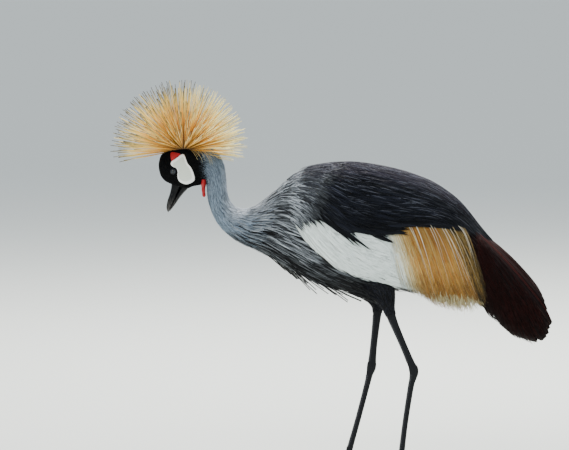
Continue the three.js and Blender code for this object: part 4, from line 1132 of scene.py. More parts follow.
def scapular_barbs(seed, count=1850):
    """Fine single barbs over the scapulars; a few on the upper part are pale, as painted highlight streaks.
    """
    chance = np.random.default_rng(seed)
    steps = 6
    f = chance.uniform(0.03, 1, count)
    u = chance.uniform(0, 0.97, count)
    roots, tips = slate_flow(f, u)
    first = chance.uniform(0, 0.55, count)[:, None]
    last = (first[:, 0] + chance.uniform(0.3, 0.55, count)).clip(max=1.0)[:, None]
    start, end = roots + (tips - roots) * first, roots + (tips - roots) * last
    lift = 3.3 + 4.6 * f
    lifts = columns(lift - 1.2, lift, lift + 0.4, lift) - sink(start[:, 0], end[:, 0])
    path, out, uv = over_back(chance, start, end, lifts, bend=0.6, steps=steps, jitter=0.9)
    color = slate_color(chance, start) * chance.uniform(0.5, 1.8, count)[:, None]
    # A few barbs on the upper part are made pale: painted highlight streaks.
    pale = (chance.random(count) < 0.12) * chance.uniform(0.3, 0.9, count)
    color = blend(color, SLATE_HIGHLIGHT_STREAK, pale * step(5, 32, start[:, 1]))
    t = np.linspace(0, 1, steps)
    return [grow(path, out, 0.42 * (1 - t**3) + 0.05, 0.35, SLIM, color, uv, chance)]


def mantle(seed, count=1700):
    """Short fine shoulder feathers, pale or dark, between the breast's plumes and the long scapulars."""
    chance = np.random.default_rng(seed)
    spot = chance.uniform(0, 1, (2, count))
    back = np.interp(spot[0], [0, 0.35, 1], [-148, -128, -84])
    x = -192 + (back + 192) * spot[1] ** 0.9
    low = roof_angle(x, np.interp(x, [-190, -150, -92], [497, 518, 545]))
    angle = low + (89 - low) * spot[0]
    length = chance.uniform(15, 32, count)
    end = columns(x + length * 0.92, angle - length * np.interp(angle, [20, 85], [0.42, 0.05]))
    height = 1.4 + 4.4 * step(-184, -100, x) + chance.uniform(0, 1.2, count)
    lifts = columns(height - 3.4, height - 0.3, height + 0.5, height + 0.9)
    path, out, uv = over_back(chance, columns(x, angle), end, lifts, bend=0.8, steps=5, jitter=1.4)
    share = chance.uniform(0, 1, count) ** 1.2 * (0.12 + 0.85 * step(-2, -56, x - back))
    color = blend(SLATE_DARK, PLUME_PALE, share)
    color = blend(color, SLATE_PLUM, step(50, 75, angle) * chance.uniform(0, 0.7, count))
    ring_color = side_shades(color, [0.5, 0.7, 0.5, 1.2])[:, None]
    fade = np.array([0.5, 0.85, 1.1, 1.15, 1.1])[None, :, None, None]
    half = 1.35 * np.array([0.6, 1, 0.95, 0.6, 0.08])
    return grow(path, out, half, 0.6, FLAT, ring_color * fade, uv, chance, bow=0.3)


SLATE_FINISH = feather_material("slate_sheen", 0.46, 0.5, 60, 14, sheen=0.03, shine=0.08)
coat_pair("scapulars_{}_coat", scapular_groups, (12, 14), SLATE_FINISH, "slate", "scapulars_{}")
coat_pair("back_barbs_{}", scapular_barbs, (16, 17), SLATE_FINISH, "slate")

# Golden plumes
# Loose hair-like coverts that hang from under the black over the roots of the wing's long feathers: white and
# cream in front, gold in the middle and dull straw with dark gaps behind, crossed by a few stiff pale shafts.
GOLD = paint(198, 136, 50)
GOLD_DEEP = paint(160, 94, 34)
STRAW = paint(198, 168, 94)
CREAM = paint(222, 202, 136)
SHAFT_WHITE = paint(242, 236, 216)
PALE_FLUFF = paint(226, 220, 178)


def gold_top(x):
    """Where the plumes start, hidden under the black's lower edge."""
    return SLATE_TIPS(x) + 11


def gold_ends(u):
    """Where a plume that starts at a share u of the band comes down: x and z of its tip."""
    places = [-0.3, 0, 0.2, 0.4, 0.6, 0.8, 0.92, 1]
    tip_x = np.interp(u, places, [26, 78, 108, 148, 184, 194, 188, 166])
    tip_z = np.interp(u, places, [364, 346, 330, 325, 332, 345, 378, 430])
    return tip_x, tip_z


def gold_paths(chance, u, reach, drop, lifts, steps, jitter):
    """Paths that lean back from under the black and then hang down."""
    root_x = 30 + 117 * u
    roots = columns(root_x, gold_top(root_x))
    way = columns(*gold_ends(u)) - roots
    return over_roof(chance, roots + way * drop[:, None], roots + way * reach[:, None], lifts,
                     bend=4.5 + 6 * u, steps=steps, jitter=jitter)


def gold_color(chance, u, count):
    """White and cream in front, then gold among straw, and dull straw behind."""
    color = blend(GOLD, GOLD_DEEP, chance.uniform(0, 1, count) ** 1.3 * step(1.0, 0.55, u))
    color = blend(color, STRAW, chance.uniform(0, 1, count) ** 1.6 * 0.9)
    color = blend(color, np.asarray(STRAW) * 0.48, step(0.45, 0.85, u) * 0.75)
    place = u + chance.normal(0, 0.05, count)
    color = blend(CREAM, color, step(-0.2, 0.1, place))
    return blend(WHITE, color, step(-0.3, -0.04, place))


def filaments(seed, count=2750):
    chance = np.random.default_rng(seed)
    steps = 7
    u = -0.3 + 1.3 * chance.uniform(0, 1, count) ** 0.85
    u = u[chance.random(count) < step(-0.36, 0.0, u)]
    count = len(u)
    drop = chance.uniform(0, 1, count) ** 1.6 * 0.45
    lift = 0.6 + 2.6 * chance.uniform(0, 1, count)
    lifts = columns(-1.0, lift, lift, lift + 0.6)
    lifts = blend(np.array([-1.2, -0.6, -2.0, -3.5]), lifts, step(-0.3, 0.06, u))
    path, out, uv = gold_paths(chance, u, chance.uniform(0.74, 1.04, count), drop, lifts, steps, 2.4)
    color = gold_color(chance, u, count) * chance.uniform(0.7, 1.12, count)[:, None]
    dark_gap = chance.random(count) < 0.62 * step(0.45, 0.85, u)
    color = np.where(dark_gap[:, None], color * 0.1, color)
    t = np.linspace(0, 1, steps)
    duller = 0.25 * step(0, 0.3, u)[:, None] * step(0.5, 0, drop[:, None] + t)
    color = color[:, None] * (1 - duller)[..., None]
    return grow(path, out, 0.6 * (1 - t**3) + 0.06, 0.5, SLIM, color, uv, chance)


def white_shafts(seed, count=17):
    chance = np.random.default_rng(seed)
    steps = 12
    u = 0.06 + 0.94 * (np.arange(count) + chance.uniform(-0.2, 1.2, count)) / count
    lifts = [0.5, 3.8, 4.2, 4.0]
    path, out, uv = gold_paths(chance, u, chance.uniform(0.5, 0.95, count), np.zeros(count), lifts,
                               steps, 5.0)
    color = blend(STRAW, SHAFT_WHITE, chance.uniform(0, 1, count) ** 0.4)
    t = np.linspace(0, 1, steps)
    half = chance.uniform(0.32, 0.62, count)[:, None] * (1 - t**2) + 0.08
    return grow(path, out, half, 0.7, SLIM, color, uv, chance)


def fluff(seed, count=620):
    """A pale fringe of soft down that hangs below the gold."""
    chance = np.random.default_rng(seed)
    steps = 5
    x = chance.uniform(84, 184, count)
    roots = columns(x, np.interp(x, [84, 140, 184], [356, 350, 352]) + chance.uniform(-4, 14, count))
    ends = columns(x + chance.normal(7, 5, count), roots[:, 1] - 16)
    lifts = columns(-2.0, chance.uniform(-7, 1, count), chance.uniform(-9, 2, count))
    path, out, uv = over_roof(chance, roots, ends, lifts, bend=0.0, steps=steps, jitter=2.0)
    t = np.linspace(0, 1, steps)
    reach = chance.uniform(4, 22, count) * np.interp(x, [84, 120, 160, 184], [0.5, 1, 1, 0.4])
    path[..., 2] -= reach[:, None] * t**1.5
    color = blend(PALE_FLUFF, STRAW, chance.uniform(0, 0.6, count))
    return grow(path, out, 0.42 * (1 - t**2) + 0.05, 0.3, SLIM, color, uv, chance)


def gold_groups(seed):
    base = pad(78, 148, lambda x: np.interp(x, [78, 100, 148], [382, 362, 372]), gold_top, -3.4, -1.4,
               np.asarray(GOLD_DEEP) * 0.6)
    return [base, filaments(seed), white_shafts(seed + 1), fluff(seed + 2)]


GOLD_FINISH = feather_material("golden_filament", 0.5, 0.3, 20, 4, sheen=0.1)
coat_pair("golden_plumes_{}", gold_groups, (20, 24), GOLD_FINISH, "gold", "plumes_{}")

# Secondaries and primaries
# Broad dark maroon feathers that droop over the tail like a cloak, redder along the upper edge, with loose
# barbs that hang from them. The black primaries lie folded under them.
CLOAK_TIPS = np.array([
    [321, 290], [318, 272], [310, 258], [296, 252], [284, 251], [268, 256], [252, 268], [232, 288],
    [210, 308], [193, 322],
], float)
MAROON = paint(23, 10, 9)
MAROON_EDGE = paint(98, 32, 26)
BLACK_FLIGHT = paint(18, 18, 21)
CLOAK_VANE = np.array([0.35, 0.6, 0.8, 0.92, 0.98, 1, 1, 1, 1, 0.98, 0.95, 0.88, 0.74, 0.4])
RIBS = 3
RIB_BROWN = paint(122, 96, 88)
# The lower and upper edges of the pads that carry the secondaries and the primaries.
CLOAK_LOW = edge([
    [140, 358], [178, 346], [210, 322], [232, 302], [252, 282], [268, 268], [290, 263], [312, 272],
])
CLOAK_HIGH = edge([[140, 506], [178, 478], [211, 446], [239, 424], [263, 400], [289, 368], [312, 322]])
PRIMARY_LOW = edge([
    [-70, 388], [0, 362], [60, 350], [100, 343], [150, 338], [186, 328], [210, 312], [232, 293], [252, 274],
    [268, 262], [300, 262],
])
PRIMARY_HIGH = edge([[-70, 476], [60, 460], [140, 440], [200, 410], [252, 370], [300, 330]])


def cloak_ends(u):
    roots = columns(154 + 6 * u, 496 - 128 * u)
    tips = row_at(CLOAK_TIPS, u * (len(CLOAK_TIPS) - 1))
    return roots, tips


def cloak_groups(seed, count=15):
    chance = np.random.default_rng(seed)
    steps = len(CLOAK_VANE)
    u = (np.arange(count) / (count - 1)) ** 1.3
    roots, tips = cloak_ends(u)
    top = -4.6 + 2.4 * (1 - u)
    lifts = columns(-8.0, top, top, top + 0.3)
    path, out, uv = over_roof(chance, roots, tips, lifts, bend=3.0, steps=steps, jitter=1.0)
    color = shaded(MAROON, chance.uniform(0.85, 1.15, count) * (1.1 - 0.6 * u))
    red = blend(color, MAROON_EDGE, step(0.03, 0, u) * 0.45)
    ring_color = np.concatenate([red[:, None], side_shades(color, [1, 1, 1, 1, 1, 1.2, 1])], 1)
    half = (13 - 3 * u)[:, None] * CLOAK_VANE
    ring_color = ring_color[:, None] * np.linspace(1.3, 0.7, steps)[None, :, None, None]
    vanes = grow(path, out, half, 0.6, BROAD, ring_color, uv, chance, bow=1.0)
    path, out, uv = over_roof(chance, roots[:RIBS], tips[:RIBS], lifts[:RIBS] + [0, 1.0, 1.0, 0.9], bend=3.0,
                              steps=steps, jitter=0.5)
    rib_color = np.broadcast_to(RIB_BROWN, (RIBS, 1, 3))
    ribs = grow(path, out, np.linspace(0.55, 0.2, steps), 0.6, SLIM, rib_color, uv, chance)
    base = pad(140, 312, CLOAK_LOW, CLOAK_HIGH, -10, -7.6, MAROON)
    return [base, vanes, ribs, ridge_vanes(chance), cloak_barbs(seed + 1)]


def ridge_vanes(chance, count=5):
    """Long maroon vanes from the back to the tail's end, which close the cloak over the tail."""
    k = np.arange(count) / (count - 1)
    start = columns(168 + 8 * k, 52 + 32 * k)
    end = columns(318 - 16 * k, 22 + 62 * k)
    top = -3.4 + 0.9 * k
    lifts = columns(-9.0, top, top, top)
    path, out = lay(roof_point, start, end, 0, lifts, len(CLOAK_VANE))
    color = blend(MAROON, MAROON_EDGE, 0.3 * k) * 0.8
    ring_color = np.repeat(color[:, None], len(BROAD), 1)
    ring_color[-1, 0] = MAROON_EDGE
    ring_color = ring_color[:, None] * np.linspace(1.4, 0.5, len(CLOAK_VANE))[None, :, None, None]
    return grow(path, out, 11.5 * CLOAK_VANE, 0.6, BROAD, ring_color, roof_uv(start[:, 0], start[:, 1]),
                chance, bow=0.8)


def cloak_barbs(seed, count=2000):
    """Loose barbs that leave the shafts and droop, the longer the nearer to the tips."""
    chance = np.random.default_rng(seed)
    steps = 5
    u = chance.uniform(0, 1, count)
    roots, tips = cloak_ends(u)
    share = chance.uniform(0.12, 0.86, count)[:, None]
    start = roots + (tips - roots) * share
    start[:, 1] += 3.5 * np.sin(np.pi * share[:, 0]) * 4
    way = tips - roots
    way /= np.linalg.norm(way, axis=1, keepdims=True)
    length = chance.uniform(18, 38, count) * (0.7 + 0.4 * share[:, 0])
    end = start + way * length[:, None] * 0.86 + columns(0, -length * 0.34)
    end[:, 0] = np.minimum(end[:, 0], 326)
    lift = -1.6 + 1.6 * chance.random(count)
    lifts = columns(lift - 1.6, lift, lift + 0.6, lift + chance.uniform(0, 2.4, count))
    path, out, uv = over_roof(chance, start, end, lifts, bend=0.0, steps=steps, jitter=1.0)
    color = blend(MAROON, MAROON_EDGE, chance.uniform(0, 0.16, count))
    color = color * (chance.uniform(0.5, 1.5, count) * (1.1 - 0.6 * u))[:, None]
    t = np.linspace(0, 1, steps)
    return grow(path, out, 0.75 * (1 - t**3) + 0.06, 0.4, SLIM, color, uv, chance)


def primary_groups(seed, count=6):
    chance = np.random.default_rng(seed)
    u = np.arange(count) / (count - 1)
    roots = columns(146.0, 412 - 48 * u)
    tips = columns(296 - 90 * u, 288 + 34 * u)
    top = -11.4 - 0.7 * np.arange(count)
    lifts = columns(-13.0, top, top, top)
    path, out, uv = over_roof(chance, roots, tips, lifts, bend=0.0, steps=10, jitter=1.0)
    color = shaded(BLACK_FLIGHT, chance.uniform(0.8, 1.3, count))
    base = pad(-70, 300, PRIMARY_LOW, PRIMARY_HIGH, -14.2, -12.4, BLACK_FLIGHT)
    return [base, grow(path, out, 10 * VANE_SHAPE, 0.5, BROAD, color, uv, chance, bow=0.8)]


MAROON_FINISH = feather_material("maroon_vane", 0.55, 0.5, 70, 18, sheen=0.01, shine=0.07)
BLACK_FINISH = feather_material("black_vane", 0.48, 0.4, 60, 14, sheen=0.06)
coat_pair("cloak_{}", cloak_groups, (30, 32), MAROON_FINISH, "chestnut", "secondaries_{}")
coat_pair("primaries_{}_coat", primary_groups, (34, 35), BLACK_FINISH, "black", "primaries_{}")

# Tail
# Twelve black feathers, closed to a narrow fan under the cloak. Nine more lie below them and close the gap
# between the two cloaks.
TAIL_ROOT, TAIL_TIP = np.array([166.0, 0, 455]), np.array([303.0, 0, 304])
TAIL_LENGTH = np.linalg.norm(TAIL_TIP - TAIL_ROOT)


def tail_point(along, across, lift):
    way = (TAIL_TIP - TAIL_ROOT) / TAIL_LENGTH
    up = np.array([-way[2], 0, way[0]])
    along, across, lift = np.broadcast_arrays(along, across, lift)
    bulge = 10 * np.sin(np.pi * along / TAIL_LENGTH / 2)
    return (TAIL_ROOT + way * along[..., None] + up * (lift + bulge)[..., None]
            + np.array([0, 1, 0]) * across[..., None])


def tail_group():
    chance = np.random.default_rng(40)
    count = 12
    offset = np.arange(count) - (count - 1) / 2
    start = columns(4.0, offset * 1.0)
    end = columns(TAIL_LENGTH - 3.5 * np.abs(offset), offset * 1.5)
    under = 2.6 - 0.62 * (count - 1 - np.arange(count))
    lifts = columns(0.3 * under, under, under, under)
    path, out = lay(tail_point, start, end, 0, lifts, 10)
    color = shaded(BLACK_FLIGHT, chance.uniform(0.8, 1.3, count))
    uv = body_uv(np.full(count, ARC_LENGTH - 4), 90 + 10 * offset)
    return grow(path, out, 8 * VANE_SHAPE, 0.5, BROAD, color, uv, chance, bow=0.8)


def under_tail():
    """Black feathers under the tail, which close the gap between the two cloaks."""
    chance = np.random.default_rng(41)
    count = 9
    offset = np.arange(count) - (count - 1) / 2
    under = -40 + 2.5 * np.abs(offset)
    start = columns(40.0, offset * 1.2)
    end = columns(TAIL_LENGTH + 22 - 2 * np.abs(offset), offset * 3.0)
    lifts = columns(0.4 * under, 0.8 * under, under, under)
    path, out = lay(tail_point, start, end, 0, lifts, 10)
    color = shaded(BLACK_FLIGHT, chance.uniform(0.6, 1.1, count))
    uv = body_uv(np.full(count, ARC_LENGTH - 4), -90 + 10 * offset)
    return grow(path, out, 7 * VANE_SHAPE, 0.5, BROAD, color, uv, chance, bow=-0.8)


coat_piece("tail_coat", [tail_group(), under_tail()], BLACK_FINISH, "black", "tail")

# Crest
# A round brush of several hundred stiff straw-like bristles on the hind crown: brown at the root, gold and
# then pale straw towards the ends. Many are tipped black, most of them in front.
CREST = {"x": -392, "z": 629, "count": 820, "length": 131, "radius": 0.62, "sway": 7, "points": 10,
         "sides": 4, "seed": 7}


def bristle_tree():
    """Geometry Nodes: bristles on a spiral of directions, bowed a little, each a closed tapered stalk."""
    tree, given, result = new_tree("crest_bristles", "GeometryNodeTree", {
        "Count": ("Int", 100), "Length": ("Float", 0.1), "Radius": ("Float", 0.0005),
        "Sway": ("Float", 0.005), "Seed": ("Int", 1), "Material": ("Material", None),
    }, {"Geometry": "Geometry"})
    calc, turn_by = math_in(tree), math_in(tree, "ShaderNodeVectorMath")

    index = add_node(tree, "GeometryNodeInputIndex").outputs[0]
    luck = add_node(tree, "FunctionNodeRandomValue", {"data_type": "FLOAT"}, Seed=given["Seed"]).outputs[1]
    share = calc("DIVIDE", calc("ADD", index, 0.5), given["Count"])
    tilt = calc("ARCCOSINE", calc("SUBTRACT", 1.0, share))
    turn = calc("ADD", calc("MULTIPLY", index, math.pi * (3 - math.sqrt(5))), calc("MULTIPLY", luck, 0.3))
    sideways = calc("MULTIPLY", calc("SINE", tilt), calc("SINE", turn))
    forward = calc("MULTIPLY", calc("SINE", tilt), calc("COSINE", turn))
    near_rise = calc("MULTIPLY", calc("POWER", sideways, 2.0), 0.24)
    droop = calc("MULTIPLY", luck, calc("MULTIPLY", calc("POWER", forward, 2.0), 0.3))
    upward = calc("SUBTRACT", calc("ADD", calc("COSINE", tilt), near_rise), droop)
    narrower = calc("MULTIPLY", sideways, 0.88)
    way = add_node(tree, "ShaderNodeCombineXYZ", X=forward, Y=narrower, Z=upward).outputs[0]
    clump = add_node(tree, "ShaderNodeTexNoise", {"noise_dimensions": "3D"}, Vector=way, Scale=4.5,
                     Detail=1.0)
    pull = turn_by("MULTIPLY_ADD", clump.outputs["Color"], (0.1, 0.1, 0.1), way)
    unit = turn_by("NORMALIZE", turn_by("SUBTRACT", pull, (0.05, 0.05, 0.05)))
    root = turn_by("MULTIPLY", unit, (0.0085, 0.007, 0.003))

    points = add_node(tree, "GeometryNodePoints", Count=given["Count"], Position=root)
    stalk = add_node(tree, "GeometryNodeCurvePrimitiveLine", Start=(0, 0, 0), End=(0, 0, 1))
    stalk = add_node(tree, "GeometryNodeResampleCurve", Curve=stalk.outputs[0], Count=CREST["points"])
    turned = add_node(tree, "FunctionNodeAlignRotationToVector", {"axis": "Z"}, Vector=unit)
    ahead, aside, _ = add_node(tree, "ShaderNodeSeparateXYZ", Vector=unit).outputs
    shorter = calc("ADD", calc("MULTIPLY", calc("MAXIMUM", ahead, 0.0), 0.13),
                   calc("MULTIPLY", calc("POWER", aside, 2.0), 0.24))
    uneven = calc("MULTIPLY", calc("POWER", luck, 2.0), 0.22)
    size = calc("MULTIPLY", given["Length"], calc("SUBTRACT", calc("SUBTRACT", 1.03, shorter), uneven))
    placed = add_node(tree, "GeometryNodeInstanceOnPoints", Points=points.outputs[0],
                      Instance=stalk.outputs[0],
                      Rotation=turned.outputs[0], Scale=size)
    real = add_node(tree, "GeometryNodeRealizeInstances", Geometry=placed.outputs[0])

    along = add_node(tree, "GeometryNodeSplineParameter").outputs["Factor"]
    place = add_node(tree, "GeometryNodeInputPosition").outputs[0]
    drift = add_node(tree, "ShaderNodeTexNoise", {"noise_dimensions": "3D"}, Vector=place, Scale=38.0,
                     Detail=1.0)
    centred = turn_by("SUBTRACT", drift.outputs["Color"], (0.5, 0.5, 0.5))
    push = add_node(tree, "ShaderNodeVectorMath", {"operation": "SCALE"}, Vector=centred,
                    Scale=calc("MULTIPLY", calc("POWER", along, 2.0), given["Sway"]))
    bowed = add_node(tree, "GeometryNodeSetPosition", Geometry=real.outputs[0], Offset=push.outputs[0])
    taper = calc("SUBTRACT", 1.05, calc("MULTIPLY", calc("POWER", along, 6.0), 0.2))
    thin = calc("MULTIPLY", given["Radius"], taper)
    sized = add_node(tree, "GeometryNodeSetCurveRadius", Curve=bowed.outputs[0], Radius=thin)
    ring = add_node(tree, "GeometryNodeCurvePrimitiveCircle", Resolution=CREST["sides"], Radius=1.0)
    solid = add_node(tree, "GeometryNodeCurveToMesh", Curve=sized.outputs[0], Profile_Curve=ring.outputs[0],
                     Fill_Caps=True)
    if "Scale" in solid.inputs:
        tree.links.new(add_node(tree, "GeometryNodeInputRadius").outputs[0], solid.inputs["Scale"])
    final = add_node(tree, "GeometryNodeRealizeInstances", Geometry=solid.outputs[0])
    dressed = add_node(tree, "GeometryNodeSetMaterial", Geometry=final.outputs[0], Material=given["Material"])
    tree.links.new(dressed.outputs[0], result.inputs[0])
    return tree


CREST_FINISH = feather_material("crest_straw", 0.5, 0.2, 10, 2, sheen=0.2)
CREST_BROWN = paint(78, 46, 20)
CREST_GOLD = paint(238, 172, 62)
CREST_STRAW = paint(255, 216, 96)
CREST_PALE = paint(255, 245, 184)


def color_crest(piece):
    """Colours by share of length and direction, and the bake map on an unwrap of the round crown."""
    mesh = piece.data
    points = drawn_points(mesh) - (CREST["x"], 0, CREST["z"])
    spot = points.reshape(-1, CREST["points"], CREST["sides"], 3)
    bristles = len(spot)
    tips = spot[:, -1].mean(1)
    way = tips / np.linalg.norm(tips, axis=1, keepdims=True)
    chance = np.random.default_rng(50)
    luck = chance.random(bristles)
    share = np.broadcast_to(np.linspace(0, 1, CREST["points"]), (bristles, CREST["points"]))
    front = step(0.35, -0.3, way[:, 0])
    black = (luck < 0.25 + 0.6 * front) * (way[:, 0] < 0.45)
    color = blend(CREST_BROWN, CREST_GOLD, (share - 0.06) / 0.32)
    color = blend(color, CREST_STRAW, (share - 0.4) / 0.35 + 0.3 * (luck[:, None] - 0.5))
    paler = np.clip((share - 0.62) / 0.33, 0, 1) * (0.5 + 0.5 * step(-0.2, 0.4, way[:, 0]))[:, None]
    color = blend(color, CREST_PALE, paler)
    color = color * (0.4 + 0.75 * chance.random(bristles) ** 0.5)[:, None, None]
    color = blend(color, VELVET, np.clip((share - 0.8) / 0.15, 0, 1) * black[:, None])
    color = np.broadcast_to(color[:, :, None], (*spot.shape[:3], 3)).reshape(-1, 3)
    set_tint(mesh, color)
    vane = np.zeros((*spot.shape[:3], 3))
    vane[..., 1], vane[..., 2] = share[:, :, None], luck[:, None, None]
    set_vane(mesh, vane)
    flat = np.arccos(np.clip(way[:, 2], -1, 1)) / 2.1 * 0.45
    heading = np.arctan2(way[:, 1], way[:, 0])
    uv = 0.5 + columns(flat * np.cos(heading), flat * np.sin(heading))[:, None, None]
    side = np.array([-0.5, 0, 0.5, 0])[None, None, :]
    patch = PATCH * columns(share[:, :, None] - 0.5, side)
    uv = (uv + patch).reshape(-1, 2)
    corners = np.empty(len(mesh.loops), np.int32)
    mesh.loops.foreach_get("vertex_index", corners)
    layer = mesh.uv_layers.get("OFBake") or mesh.uv_layers.new(name="OFBake")
    layer.uv.foreach_set("vector", uv[corners].astype(np.float32).ravel())


def build_crest():
    tree = bristle_tree()
    seedling = bpy.data.objects.new("crest_bristles", bpy.data.meshes.new("crest_bristles"))
    bpy.context.scene.collection.objects.link(seedling)
    growth = seedling.modifiers.new("bristles", "NODES")
    growth.node_group = tree
    sockets = {item.name: item.identifier for item in tree.interface.items_tree if item.in_out == "INPUT"}
    for name, value in [("Count", CREST["count"]), ("Length", CREST["length"] / 1000),
                        ("Seed", CREST["seed"]),
                        ("Radius", CREST["radius"] / 1000), ("Sway", CREST["sway"] / 1000),
                        ("Material", CREST_FINISH)]:
        growth[sockets[name]] = value
    seedling.update_tag()
    bpy.context.view_layer.update()
    baked_mesh(seedling)
    seedling.data.transform(Matrix.Translation(Vector(to_frame((CREST["x"], 0, CREST["z"])))))
    color_crest(seedling)
    return seedling


def nape_bristles(side):
    """A few short bristles that droop behind the cheek."""
    chance = np.random.default_rng(55 + SIDE_SIGN[side])
    count, steps = 28, 7
    start = columns(arc_of(chance.uniform(7.2, 7.8, count)), chance.uniform(76, 88, count))
    end = columns(arc_of(chance.uniform(7.9, 10.8, count)), chance.uniform(4, 62, count))
    lifts = [-1.5, 1.6, 2.6, 3.4]
    path, out = lay(body_point, start, end, chance.normal(4, 3, count), lifts, steps)
    t = np.linspace(0, 1, steps)
    color = blend(blend(CREST_BROWN, CREST_GOLD, t / 0.3), CREST_PALE, (t - 0.5) / 0.5)
    color = color[None] * chance.uniform(0.75, 1.15, count)[:, None, None]
    uv = body_uv(start[:, 0], start[:, 1])
    group = grow(path, out, 0.24 * (1 - t**4) + 0.07, 0.6, SLIM, color, uv, chance)
    return to_the_right(group) if side == "right" else group


dress(build_crest(), CREST_FINISH, "crest", "crest")
coat_piece("crest_nape", [nape_bristles(side) for side in SIDE_SIGN], CREST_FINISH, "crest")

# Bill
# Two pointed halves of dark horn that meet along the mouth line, with a long nostril let into each side.
# Each row: upper x, upper z, lower x, lower z, half width, level of the widest point.
UPPER_BILL = np.array([
    [-414.5, 566, -397, 560, 10, 0.3], [-415.7, 562.2, -398.2, 556.2, 9.6, 0.3],
    [-416.8, 553, -402.5, 548, 8, 0.3], [-419.5, 542, -407.5, 537.5, 6.6, 0.3],
    [-423.6, 530, -413, 526.5, 5.4, 0.3], [-425.8, 518, -418.3, 516, 4, 0.3],
    [-424.9, 510.5, -421.3, 509.4, 2.2, 0.3], [-422.9, 506.9, -422.1, 506.6, 0.5, 0.3],
])
LOWER_BILL = np.array([
    [-396.5, 560, -384, 556, 9.6, 0.7], [-397.8, 556, -385.6, 551.8, 9.2, 0.7],
    [-402.1, 547.8, -393.5, 543.5, 7.4, 0.7], [-407.1, 537.3, -401, 534, 6, 0.7],
    [-412.6, 526.3, -407.8, 524, 4.6, 0.7], [-417.9, 515.8, -415, 514.5, 3, 0.7],
    [-420.6, 509.2, -419.8, 508.8, 0.5, 0.7],
])
BILL_WAY = np.array([-0.325, 0, -0.946])
BILL_TILT = math.radians(-19)
HORN_DARK = paint(6, 6, 8)
HORN_PALE = paint(96, 93, 90)
HORN_STRETCH = (900, 900, 70)
# The heights in metres between which the horn's streaks turn paler, a painted highlight towards the bill's
# tip.
HORN_HIGHLIGHT_HEIGHTS = (0.556, 0.512)
NOSTRIL = {"x": -413.6, "z": 546, "long": 7, "high": 1.7, "deep": 2.2}


def bill_half(rows, with_nostril):
    fine = row_at(rows, np.linspace(0, len(rows) - 1, 70))
    angles = np.arange(48) * 7.5
    rings = ring_point(fine[:, None], angles[None], 0.25)
    if with_nostril:
        offset = rings - (NOSTRIL["x"], 0, NOSTRIL["z"])
        along = offset @ BILL_WAY
        high = offset @ np.array([-BILL_WAY[2], 0, BILL_WAY[0]])
        depth = NOSTRIL["deep"] * step(1, 0.45, np.hypot(along / NOSTRIL["long"], high / NOSTRIL["high"]))
        rings[..., 1] -= np.sign(rings[..., 1]) * np.minimum(depth, np.abs(rings[..., 1]) * 0.8)
    return loft(rings)


def horn_material():
    """Dark satin horn with fine growth streaks along the bill, the streaks paler towards its tip as a painted
    highlight.
    """
    material = plain_material("bill_horn", HORN_DARK, 0.38, 0.14)
    tree = material.node_tree
    place = object_place(tree)
    turned = add_node(tree, "ShaderNodeMapping", Vector=place, Rotation=(0, BILL_TILT, 0), Scale=HORN_STRETCH)
    streak = add_node(tree, "ShaderNodeTexNoise", Vector=turned.outputs["Vector"], Scale=1, Detail=4)
    streak = streak.outputs["Fac"]
    height = add_node(tree, "ShaderNodeSeparateXYZ", Vector=place).outputs["Z"]
    # Paler streaks towards the tip: a painted highlight.
    tip_highlight = add_node(tree, "ShaderNodeMapRange", Value=height, From_Min=HORN_HIGHLIGHT_HEIGHTS[0], From_Max=HORN_HIGHLIGHT_HEIGHTS[1],
                    To_Min=0.5, To_Max=1.2)
    paler = math_in(tree)("MULTIPLY", streak, tip_highlight.outputs["Result"])
    set_inputs(shader_of(material), {
        "Base Color": color_ramp(tree, paler, [(0.42, HORN_DARK), (0.85, HORN_PALE)]), "Coat Weight": 0.03,
        "Normal": bumps(tree, streak, 0.0003, 0.35),
    })
    return material


HORN = horn_material()
for name, rows, node in [("bill_top", UPPER_BILL, "bill_upper"), ("bill_under", LOWER_BILL, "bill_lower")]:
    dress(mesh_piece(name, *bill_half(rows, node == "bill_upper")), HORN, "bill", node)

# Eyes and lids
# A dull blue-grey iris, as it looks in the shade, round a black pupil under a wet cornea. A thin rim of dark
# lids leaves an opening a little longer than it is high.
EYE = {"radius": 5.6, "pupil": 29, "sides": 56}
PUPIL_BLACK = paint(6, 6, 8)
IRIS_GREY = paint(58, 68, 76)
EYE_RIM = paint(34, 37, 42)
LIDS = {"open_long": 43, "open_high": 33, "outer": 88, "thick": 0.9}


def turned_to_side(rings):
    """From an axis along +Z to the left eye's axis along -Y, at the eye's place."""
    return columns(rings[..., 0], -rings[..., 2], rings[..., 1]) + EYE_AT


def eyeball():
    polar = np.radians(np.concatenate([np.linspace(1, EYE["pupil"] - 0.6, 8), [EYE["pupil"] + 0.6],
                                       np.linspace(EYE["pupil"] + 5, 178, 34)]))
    around = 2 * np.pi * np.arange(EYE["sides"]) / EYE["sides"]
    radius = EYE["radius"] * (1 + 0.06 * step(40, 0, np.degrees(polar)))
    wide, deep = (radius * np.sin(polar))[:, None], (radius * np.cos(polar))[:, None]
    rings = columns(wide * np.cos(around), wide * np.sin(around), deep)
    points, faces = loft(turned_to_side(rings))
    fibre = 0.82 + 0.18 * np.sin(around * 17) * np.sin(around * 11 + 1)
    ring_color = np.where((np.degrees(polar) < EYE["pupil"])[:, None, None], PUPIL_BLACK,
                          np.asarray(IRIS_GREY) * fibre[None, :, None])
    rim_share = step(38, 50, np.degrees(polar))[:, None] * np.ones_like(around)
    ring_color = blend(ring_color, EYE_RIM, rim_share)
    colors = np.concatenate([ring_color.reshape(-1, 3), [PUPIL_BLACK, EYE_RIM]])
    return points, faces, colors


